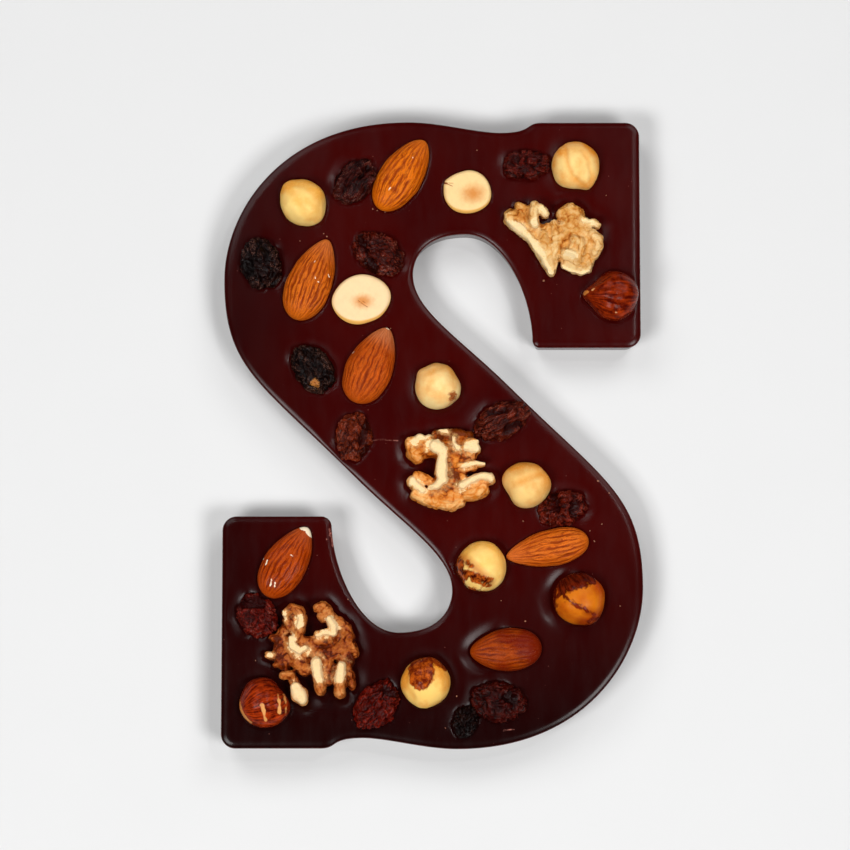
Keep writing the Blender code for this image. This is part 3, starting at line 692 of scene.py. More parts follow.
# Soft folds in a kernel, each its depth, half width and the points that it passes through, in millimetres
CREASES = {
    "hazelnut_1": ((0.16, 0.9, (-5.4, 3.6), (-2.2, 1.2), (0.4, -3.8)),
                   (0.14, 0.9, (-4.4, 4.6), (0.6, 3.4), (4.2, 1.0))),
    "hazelnut_4": ((0.30, 0.5, (-3.3, 4.7), (-2.9, 1.3), (-2.5, -1.1), (-1.4, -3.7), (1.2, -5.6),
                    (3.3, -6.6)),
                   (0.20, 0.5, (3.5, -6.4), (3.9, -3.2), (3.0, 0.5), (1.1, 3.2))),
    "hazelnut_6": ((0.16, 0.9, (-5.0, 2.6), (-2.2, 3.6), (0.8, 5.4)),
                   (0.14, 0.8, (-3.4, -1.0), (0.6, -3.4), (4.0, -4.4))),
    "hazelnut_7": ((0.26, 0.8, (-3.4, -0.4), (0.2, 1.2), (3.9, 2.8)),),
    "hazelnut_10": ((0.20, 0.6, (-5.2, 2.4), (-5.0, -1.4), (-3.2, -4.4)),),
    "hazelnut_5": ((0.30, 0.7, (-5.8, 0.6), (-1.0, 1.8), (2.4, 1.0)),
                   (0.30, 0.7, (-4.6, -2.0), (1.6, -3.4))),
    "hazelnut_11": ((0.22, 0.7, (-1.4, 0.4), (-0.6, -4.8)), (0.22, 0.7, (2.6, 2.4), (3.4, -3.4))),
}
SKIN = {
    "hazelnut_6": ((0.85, (3.7, -2.9), (3.9, -3.1)),),
    "hazelnut_8": ((2.0, (-6.6, 0.0), (-5.6, -3.4)), (0.7, (-6.2, 1.6), (-4.4, 0.6), (-2.8, -0.2)),
                   (1.2, (-4.6, -2.0), (-1.6, -3.2), (1.6, -4.4)), (0.9, (-4.4, -6.0), (-0.5, -6.8))),
    "hazelnut_9": ((1.9, (-4.4, 3.2), (-0.6, 5.0), (2.0, 5.6)),
                   (0.8, (-5.6, 0.9), (-2.8, 2.3), (0.6, 3.3), (3.4, 4.2)),
                   (0.60, (-4.7, 1.1), (-2.8, -0.9)), (0.45, (-2.8, -0.9), (-0.7, -2.3), (1.6, -3.4)),
                   (0.28, (1.6, -3.4), (4.1, -4.5)), (0.35, (-3.5, -0.9), (-1.6, -1.6), (0.0, -1.9)),
                   (0.7, (-6.6, 3.0), (-6.8, -1.5), (-6.2, -4.8)), (0.6, (2.2, -6.0), (5.2, -5.0))),
    "hazelnut_10": ((2.9, (-1.7, 3.0), (-1.2, 0.4)), (2.1, (0.3, 4.6), (0.3, 1.6)),
                    (1.4, (0.6, 6.0), (3.0, 5.8)), (0.8, (3.4, 4.8), (5.2, 3.4))),
}
# The skin's darkest and lightest colours, how softly a patch of it ends, and how streaked along the nut it
# is
SKIN_COLOURS = {
    "hazelnut_5": (srgb(76, 9, 2), srgb(160, 50, 9), 0.1, 0.5),
    "hazelnut_6": (srgb(120, 54, 22), srgb(188, 110, 56), 0.3, 0.0),
    "hazelnut_8": (srgb(62, 10, 3), srgb(198, 92, 24), 0.30, 0.0),
    "hazelnut_9": (srgb(58, 6, 2), srgb(132, 40, 12), 0.25, 0.6),
    "hazelnut_10": (srgb(96, 22, 3), srgb(200, 92, 20), 0.20, 0.0),
    "hazelnut_11": (srgb(76, 9, 3), srgb(184, 60, 13), 0.1, 0.6),
}
SKIN_ON = ("hazelnut_5", "hazelnut_11")
# Where a skin is split or a patch of it is gone
BARE = {
    "hazelnut_5": ((0.5, (-7.4, 0.4), (-7.0, 0.6)), (0.15, (-5.6, 1.0), (-5.0, 1.5)),
                   (0.12, (0.6, -5.0), (1.4, -5.2))),
    "hazelnut_8": ((0.6, (-3.7, -4.5), (-0.8, -5.2)),),
    "hazelnut_11": ((0.35, (-6.6, 2.4), (-6.2, -1.2), (-5.2, -3.6), (-3.4, -5.2)),
                    (0.42, (-0.2, -0.8), (0.2, -2.6), (0.7, -4.9)),
                    (0.24, (3.8, 2.2), (4.3, -0.4), (4.2, -2.8)),
                    (0.16, (5.3, 2.2), (6.0, -0.6), (5.8, -3.0))),
}
# Spots stained darker than the kernel round them, on a nut without its skin
STAINED = {
    "hazelnut_8": ((0.4, (-5.6, 2.4), (2.2, -4.4)),),
    "hazelnut_9": ((0.5, (1.9, -3.9), (5.2, -5.0)), (1.0, (0.6, -6.8), (3.8, -6.2), (6.4, -3.8))),
}


def hazelnut_finish(name, kernel, gold, skin_dark, skin_light, soft, streaked):
    made = Finish(name, 0.38)
    made.set("Specular IOR Level", HAZELNUT_GLOSS)
    patches = made.spread(made.mottle(4.5 * MM, 3.0), 0.38, 0.66, 0.0, 0.5)
    sides = made.held("sides")
    # Painted shade: gold on the far side and towards the edges
    tone = made.mix(made.spread(made.plus(sides, patches), 0.55, 1.35), kernel, gold)
    # Painted shade: gold in the folds
    tone = made.mix(made.times(made.held("crease"), 0.6), tone, gold)
    fine = made.mottle(0.5 * MM, 5.0, 0.6)
    tone = made.mix(made.spread(fine, 0.5, 0.7, 0.0, 0.25), tone, shade(kernel, 1.12))
    pores = made.spread(made.cells(0.9 * MM), 0.04, 0.12, 0.2, 0.0)
    tone = made.mix(pores, tone, shade(gold, 0.7))
    stain = made.spread(made.held("stain_mm"), -1.6, 0.2, 0.0, 0.75)
    tone = made.mix(stain, tone, shade(gold, 0.55, 0.3, 0.2))
    streaks = made.mottle(0.7 * MM, 4.0, 0.6, made.held("grain", "Vector"))
    frayed = made.clouds(-2.0 * soft, 2.0 * soft, 1.6 * MM, 1.5, 0.5)
    frayed = made.plus(frayed, made.spread(streaks, 0.3, 0.7, -soft, soft))
    worn = made.spread(made.plus(made.held("skin_mm"), frayed), -soft, soft)
    blotches = made.mottle(1.6 * MM, 5.0, 0.65)
    drawn = made.plus(made.times(streaks, streaked), made.times(blotches, 1.0 - streaked))
    skin = made.ramp(drawn, (0.42, skin_dark), (0.62, skin_light))
    # Painted shade: the skin darker on the far side and towards the edges
    skin = made.mix(made.spread(sides, 0.5, 1.1, 0.0, 0.5), skin, skin_dark)
    made.set("Base Color", made.mix(worn, tone, skin))
    made.set("Roughness", made.plus(made.clouds(0.30, 0.44, 1.2 * MM, 3.0), made.times(worn, -0.14)))
    rough = made.bump(fine, 0.02 * MM)
    made.set("Normal", made.bump(made.times(drawn, worn), 0.06 * MM, rough))
    made.flesh(*NUT_FLESH)
    return made.material


def pushed_out(seen, corners):
    """The points moved out to each corner of the outline, or in to each flat, as seen from above."""
    heading = np.degrees(np.arctan2(seen[:, 1], seen[:, 0]))
    push = np.zeros(len(seen))
    for turned, far, wide in corners:
        off = (heading - turned + 180.0) % 360.0 - 180.0
        push += far * MM * np.exp(-((off / wide) ** 2))
    share = 1.0 + push / np.hypot(seen[:, 0], seen[:, 1]).max()
    return seen * np.column_stack((share, share, np.ones(len(seen))))


def hazelnut(node):
    x, y, length, width, heading, lift, kernel, gold = HAZELNUTS[node]
    unit, faces = ball(HAZELNUT_SIDES, HAZELNUT_RINGS)
    seed = unlike(node)
    along = unit[:, 0]
    across = unit[:, 1:] * width / 2 * (1.0 - HAZELNUT_BELLY * along)[:, None] * (1.0, HAZELNUT_HEIGHT)
    tip = along * (1.0 - HAZELNUT_POINT * (1.0 - np.abs(along) ** 6)) * length / 2
    reach = np.where(along > 0, tip, along * HAZELNUT_BASE * length / 2)
    points = np.column_stack((reach, across))
    lifted = Matrix.Rotation(-math.radians(lift), 3, "Y")
    rotation = (Matrix.Rotation(math.radians(heading), 3, "Z") @ lifted).to_euler()
    seen = pushed_out(turned_as(points, rotation), CORNERS[node])
    points = turned_back(seen, rotation)
    above = soft_step(seen[:, 2] / (1.5 * MM) + 0.5)
    crease = np.zeros(len(points))
    for deep, *line in CREASES.get(node, ()):
        crease = np.maximum(crease, deep * soft_step(0.5 + inside_lines(seen, (line,)) / CREASE_EASE))
    crease *= above
    has_skin = node in SKIN_ON
    skin = np.full(len(points), 1.0) if has_skin else inside_lines(seen, SKIN.get(node, ()))
    skin = np.minimum(np.where(above > 0.2, skin, skin.max()), -inside_lines(seen, BARE.get(node, ())))
    if not has_skin:
        skin = np.where(above > 0.2, skin, OUTSIDE)
    flat = unit[:, 1:] / np.maximum(np.hypot(unit[:, 1], unit[:, 2]), 1e-6)[:, None]
    grain = np.column_stack((flat * width / 2, along * length / 2 * 0.15))
    swell = 0.28 * MM * lumps(points, 4.6 * MM, seed) + 0.05 * MM * lumps(points, 1.4 * MM, seed)
    flutes = 0.08 * MM * lumps(grain, 2.2 * MM, seed) * (1 - along ** 4)
    layer = soft_step(0.5 + skin / 0.7) * (SKIN_THICKNESS + 0.07 * MM * lumps(points, 0.6 * MM, seed))
    if has_skin:
        layer *= STIFF_SKIN
    points += unit * (swell + flutes + layer - MM * crease)[:, None]
    mesh = mesh_of(node + "_kernel", points, faces)
    hold(mesh, "crease", crease / 0.3)
    hold(mesh, "skin_mm", skin)
    hold(mesh, "stain_mm", inside_lines(seen, STAINED.get(node, ())))
    out = np.hypot(seen[:, 0], seen[:, 1]) / (width / 2)
    # Painted shade: more gold on the far side and towards the edges, away from the light
    hold(mesh, "sides", 0.5 + 0.35 * seen[:, 1] / (width / 2) + 0.3 * out * out)
    hold(mesh, "grain", grain)
    skin_looks = SKIN_COLOURS.get(node, (shade(gold, 0.5), gold, 0.1, 0.5))
    finish = hazelnut_finish(node + "_finish", kernel, gold, *skin_looks)
    press_in(node, mesh, (x, y, TOP + HAZELNUT_LIFT), rotation, finish)


for node in HAZELNUTS:
    hazelnut(node)

# Two hazelnuts are split down their length and lie flat side up: a pale face with a soft brown hollow in
# the middle and the rim of the kernel's round back showing below it.
HALF_NUT_SIDES = 120
HALF_NUT_RINGS = 60
HALF_NUT_EDGE = 1.1 * MM
HALF_NUT_BACK = 5.5 * MM
HALF_NUT_HOLLOW = 0.4 * MM
HALF_NUT_CORE = srgb(212, 132, 56)
HALF_NUT_RIM = srgb(232, 176, 92)
HALF_NUT_CRACK = srgb(150, 84, 44)
HALF_NUT_GLOSS = 0.1
CORE_SINK = 0.25 * MM
CRACK_DEPTH = 0.30 * MM

# Centre x and y, length, width, heading, height of the flat over the chocolate; its colour; the hollow's
# centre and half sizes, in millimetres from the nut's centre; the nicks and cracks
HALF_NUTS = {
    "hazelnut_2": (0.0094, 0.0648, 0.0126, 0.0118, 10, 2.2 * MM, srgb(245, 209, 148), (1.5, -0.6),
                   (5.0, 4.0),
                   ((0.26, (-6.4, 2.5), (-5.6, 2.2)), (0.12, (-5.6, 2.1), (-4.0, 1.4)),
                    (0.10, (-5.6, 2.3), (-3.8, 2.2)))),
    "hazelnut_3": (-0.0191, 0.0355, 0.0153, 0.0134, 15, 2.4 * MM, srgb(247, 213, 164), (0.5, -0.6),
                   (4.2, 3.0),
                   ((0.10, (-0.7, -0.4), (0.4, -1.3), (1.8, -2.2)), (0.07, (0.4, -0.5), (1.2, -1.1)))),
}


def half_nut_finish(name, face):
    made = Finish(name, 0.4)
    made.set("Specular IOR Level", HALF_NUT_GLOSS)
    patches = made.mottle(2.6 * MM, 4.0, 0.6)
    tone = made.ramp(patches, (0.35, face), (0.68, shade(face, 0.93)))
    tone = made.mix(made.held("back"), tone, HALF_NUT_RIM)
    core = made.plus(made.held("core"), made.clouds(-0.10, 0.10, 0.8 * MM, 4.0))
    tone = made.mix(made.spread(core, 0.05, 0.95, 0.0, 0.9), tone, HALF_NUT_CORE)
    tone = made.mix(made.spread(made.held("crack_mm"), -0.06, 0.08), tone, HALF_NUT_CRACK)
    pores = made.spread(made.cells(1.1 * MM), 0.03, 0.08, 0.2, 0.0)
    made.set("Base Color", made.mix(pores, tone, shade(HALF_NUT_CORE, 0.9)))
    made.set("Normal", made.bump(made.mottle(0.5 * MM, 5.0, 0.65), 0.03 * MM))
    made.set("Roughness", made.spread(patches, 0.3, 0.7, 0.40, 0.55))
    made.flesh(*NUT_FLESH)
    return made.material


def half_hazelnut(node):
    x, y, length, width, heading, height, colour, core_at, core_size, cracks = HALF_NUTS[node]
    unit, faces = ball(HALF_NUT_SIDES, HALF_NUT_RINGS)
    unit = unit[:, (1, 2, 0)]
    on_face = unit[:, 2] > 0
    seed = unlike(node)
    reach = np.minimum(1.0, np.hypot(unit[:, 0], unit[:, 1]))
    uneven = 1.0 + 0.025 * lumps(unit, 0.8, seed)
    face = -HALF_NUT_HOLLOW * np.sqrt(1.0 - reach) - HALF_NUT_EDGE * reach ** 14
    back = unit[:, 2] * HALF_NUT_BACK - HALF_NUT_EDGE
    across = unit[:, :2] * (length / 2, width / 2) * uneven[:, None]
    rotation = flat_turn(heading)
    points = np.column_stack((across, np.where(on_face, face, back)))
    seen = pushed_out(turned_as(points, rotation), CORNERS[node])
    away = (seen[:, :2] / MM - core_at) / core_size
    core = soft_step(1.0 - np.linalg.norm(away, axis=1)) * on_face
    crack = np.where(unit[:, 2] > -0.2, inside_lines(seen, cracks), OUTSIDE)
    seen[:, 2] += 0.05 * MM * lumps(seen, 1.6 * MM, seed) - CORE_SINK * core
    seen[:, 2] -= CRACK_DEPTH * soft_step(0.5 + crack / 0.25)
    seen[:, :2] *= (1.0 - 0.06 * soft_step(crack / 0.4) * reach)[:, None]
    mesh = mesh_of(node + "_kernel", turned_back(seen, rotation), faces)
    hold(mesh, "core", core)
    hold(mesh, "crack_mm", crack)
    near_side = np.clip(-seen[:, 1] / (width / 2), 0, 1)
    edge = np.clip((reach - 0.96 + 0.14 * near_side ** 2) / 0.06, 0, 1)
    hold(mesh, "back", np.where(on_face, edge, 1.0))
    finish = half_nut_finish(node + "_finish", colour)
    press_in(node, mesh, (x, y, TOP + height), rotation, finish)


for node in HALF_NUTS:
    half_hazelnut(node)

# The raisins are dried grapes, dark and a little sticky: a fat uneven drop whose skin has shrunk into deep
# folds with a net of fine sharp wrinkles over them, red-brown on the crests, and painted shade that turns
# the folds and dents black.
RAISIN_SIDES = 124
RAISIN_RINGS = 78
RAISIN_DEPTH = 0.72
RAISIN_LIFT = 0.4 * MM
RAISIN_FOLD_DEPTH = 0.16
RAISIN_FOLDS = 1.6
RAISIN_VARIETY = 200.0
RAISIN_BEND = 1.3 * MM
DENT_DEPTH = 1.5 * MM
RAISIN_GLOSS = 0.07
RAISIN_BLOOM_AND_GLINT = srgb(150, 104, 88)
SCAR_RIM = srgb(168, 104, 46)
SCAR_MIDDLE = srgb(92, 40, 14)

# Centre x and y, length, width, heading; colour of the crests, size of the wrinkles and how far they run
# lengthwise, and how much pale bloom and painted glint is on the crests
RAISINS = {
    "raisin_1": (-0.0208, 0.0678, 0.0135, 0.0091, 50, srgb(74, 18, 12), 1.5 * MM, 0.40, 0.4),
    "raisin_2": (-0.0460, 0.0451, 0.0134, 0.0107, -75, srgb(34, 10, 8), 1.3 * MM, 0.8, 0.5),
    "raisin_3": (-0.0143, 0.0479, 0.0145, 0.0102, -35, srgb(104, 26, 12), 1.1 * MM, 0.9, 0.5),
    "raisin_4": (-0.0319, 0.0167, 0.0139, 0.0096, -55, srgb(34, 12, 7), 1.2 * MM, 0.6, 0.4),
    "raisin_5": (-0.0209, -0.0016, 0.0123, 0.0091, 75, srgb(132, 44, 16), 1.0 * MM, 0.6, 0.5),
    "raisin_6": (0.0252, 0.0722, 0.0124, 0.0078, 5, srgb(90, 13, 4), 1.2 * MM, 0.8, 0.2),
    "raisin_7": (0.0187, 0.0029, 0.0148, 0.0092, 27, srgb(112, 34, 16), 1.3 * MM, 0.35, 0.5),
    "raisin_8": (0.0344, -0.0207, 0.0121, 0.0092, 20, srgb(116, 28, 12), 1.3 * MM, 0.8, 0.3),
    "raisin_9": (-0.0463, -0.0492, 0.0116, 0.0096, -50, srgb(122, 21, 8), 1.0 * MM, 0.9, 0.5),
    "raisin_10": (-0.0149, -0.0728, 0.0137, 0.0100, 48, srgb(116, 17, 3), 1.1 * MM, 0.7, 0.2),
    "raisin_11": (0.0175, -0.0720, 0.0142, 0.0100, -5, srgb(74, 7, 2), 1.2 * MM, 0.9, 0.2),
    "raisin_12": (0.0086, -0.0772, 0.0080, 0.0062, 70, srgb(24, 3, 2), 1.0 * MM, 0.9, 0.08),
}
# Deep dents: half width and line, in millimetres from the raisin's centre
DENTS = {
    "raisin_1": ((0.6, (3.6, 3.2), (1.8, 0.8)),),
    "raisin_2": ((1.5, (-3.5, -0.4), (-3.5, -2.6)),),
    "raisin_3": ((0.7, (-5.1, 4.9), (-4.0, 0.7)), (1.0, (-2.7, -2.5), (-1.3, -4.6))),
    "raisin_5": ((0.9, (4.0, 4.4), (2.2, -1.5)), (0.9, (3.6, -3.4), (2.6, -5.6))),
    "raisin_7": ((0.6, (-3.6, 1.8), (0.4, 2.6)), (0.8, (1.6, -2.6), (4.4, -1.2))),
    "raisin_8": ((0.8, (-1.9, 3.9), (-1.4, -0.8)), (1.1, (3.6, 1.1), (3.1, -1.3))),
    "raisin_9": ((1.6, (-3.8, 3.6), (0.6, 3.6)),),
    "raisin_10": ((0.9, (2.2, 4.6), (5.0, 2.8)),),
    "raisin_11": ((1.3, (2.3, 1.6), (3.6, 0.6)),),
}
STEM_SCARS = {"raisin_4": ((1.0, (0.5, -4.1), (0.8, -4.3)),)}


def raisin_finish(name, crest, bloom_and_glint):
    made = Finish(name, 0.3)
    made.set("Specular IOR Level", RAISIN_GLOSS)
    fold = made.held("fold")
    fine = made.mottle(0.4 * MM, 4.0, 0.6)
    depth = made.plus(fold, made.spread(fine, 0.3, 0.7, -0.20, 0.20))
    # Painted shade: near black in the folds and dents
    fold_shade = (crest[0] * 0.10 + 0.001, crest[1] * 0.05 + 0.0006, crest[2] * 0.05 + 0.0006, 1.0)
    warm = made.mix(made.spread(made.mottle(3.0 * MM, 3.0), 0.40, 0.60), shade(crest, 0.45), crest)
    tone = made.mix(made.spread(depth, 0.22, 0.90), fold_shade, warm)
    # Pale bloom on the crests, partly a painted sheen
    dusted = made.spread(made.mottle(1.6 * MM, 4.0), 0.50, 0.62)
    tone = made.mix(made.times(made.spread(depth, 0.85, 1.05), dusted, bloom_and_glint), tone, RAISIN_BLOOM_AND_GLINT)
    # Painted glints: thin pale lines on the wrinkles, where they catch the light
    off_line = made.reckon("ABSOLUTE", made.plus(made.mottle(0.8 * MM, 2.0, 0.6), -0.5))
    line = made.spread(off_line, 0.008, 0.030, 1.0, 0.0)
    patch = made.spread(made.mottle(2.6 * MM, 2.0), 0.44, 0.60)
    painted_glints = made.times(line, patch, made.spread(fold, 0.3, 0.7), bloom_and_glint)
    tone = made.mix(painted_glints, tone, RAISIN_BLOOM_AND_GLINT)
    scar = made.held("scar_mm")
    ragged = made.plus(scar, made.spread(fine, 0.3, 0.7, -0.5, 0.5))
    tone = made.mix(made.spread(ragged, -0.2, 0.3), tone, SCAR_RIM)
    made.set("Base Color", made.mix(made.spread(scar, 0.7, 1.0, 0.0, 0.85), tone, SCAR_MIDDLE))
    made.set("Roughness", made.clouds(0.08, 0.20, 0.7 * MM, 4.0))
    made.set("Normal", made.bump(fine, 0.10 * MM))
    return made.material


def ridges(points, size, seed, sharpness):
    """Narrow winding ridges about the given size apart: 1 on each, 0 off it."""
    return np.clip(1.0 - np.abs(lumps(points, size, seed)) * sharpness, 0, 1)


def raisin(node):
    x, y, length, width, heading, crest, size, lengthwise, bloom_and_glint = RAISINS[node]
    unit, faces = ball(RAISIN_SIDES, RAISIN_RINGS)
    own = np.array((x, y, length)) * RAISIN_VARIETY
    seed = unlike(node)
    folded = 1.0 + RAISIN_FOLD_DEPTH * lumps(unit, 1.0 / RAISIN_FOLDS, own)
    points = unit * folded[:, None] * np.array((length / 2, width / 2, width / 2 * RAISIN_DEPTH))
    pulled = points * np.array((lengthwise, 1.0, 1.0))
    bend = np.column_stack([lumps(pulled, 3.0 * MM, seed + shift) for shift in (0, 11, 23)])
    creased = pulled + bend * RAISIN_BEND
    rise = np.clip(np.abs(lumps(creased, size * 1.6, seed)) * 2.8, 0, 1) ** 0.6
    net = ridges(creased, size * 0.75, seed + 5, 4.2)
    thread = ridges(creased, size * 0.36, seed + 17, 3.4)
    rotation = flat_turn(heading)
    seen = turned_as(points, rotation)
    dent = soft_step(0.5 + inside_lines(seen, DENTS.get(node, ())) / 1.5) * (seen[:, 2] > -0.5 * MM)
    smooth = 1.0 - 0.4 * dent
    moved = 0.80 * MM * (rise - 0.66) + (0.34 * MM * (net - 0.3) + 0.14 * MM * (thread - 0.3)) * smooth
    moved -= DENT_DEPTH * dent * unit[:, 2].clip(0.2, 1)
    mesh = mesh_of(node + "_fruit", points + unit * moved[:, None], faces)
    # The fold value also sets the painted shade: low in the folds and dents, which the finish turns black
    hold(mesh, "fold", np.clip(0.42 * rise + 0.42 * net + 0.24 * thread - 0.6 * dent, 0, 1))
    scar = inside_lines(seen, STEM_SCARS.get(node, ()))
    hold(mesh, "scar_mm", np.where(seen[:, 2] > 0, scar, OUTSIDE))
    finish = raisin_finish(node + "_skin", crest, bloom_and_glint)
    press_in(node, mesh, (x, y, TOP + RAISIN_LIFT), rotation, finish)


for node in RAISINS:
    raisin(node)

# The walnuts are broken kernels: crumpled lobes with a thin brown skin, rubbed off the crests so that the
# cream flesh shows there. A piece is built fold by fold, as ridges with steep sides, and then made one
# lump.
WALNUT_ROOT = 3.6 * MM
FOLD_STEP = 0.6 * MM
EGG_SIDES = 20
EGG_RINGS = 14
EGG_SQUARENESS = 0.52
WALNUT_VOXEL = 0.27 * MM
WALNUT_EASED = 3
FOLD_BLEND = 0.30
CREST_BLEND = 0.6
CRUMPLE_DEPTH = 0.34 * MM
CREASE_DEPTH = 0.30 * MM
WRINKLE_DEPTH = 0.08 * MM
# How far a rubbed spot reaches down from its top, in millimetres; and how far under it the flat is
RUB_REACH = 1.5
RUB_FLAT = 0.15 * MM
RUB_SLOPE = 0.9 * MM
WALNUT_GLOSS = 0.07
WALNUT_FLESH = (0.10, (1.0, 0.5, 0.2), 0.7 * MM)

# Each kernel's skin from its deepest fold to its crests, and the flesh where it is rubbed
WALNUT_SKIN = {
    "walnut_1": (srgb(168, 90, 16), srgb(208, 146, 72), srgb(238, 202, 142), srgb(240, 212, 160)),
    "walnut_2": (srgb(150, 62, 6), srgb(212, 126, 44), srgb(238, 184, 116), srgb(244, 212, 160)),
    "walnut_3": (srgb(116, 40, 7), srgb(182, 100, 40), srgb(222, 158, 94), srgb(240, 206, 154)),
}

WALNUT_PLACES = {"walnut_1": (0.0329, 0.0528), "walnut_2": (0.0044, -0.0107), "walnut_3": (-0.0316, -0.0592)}
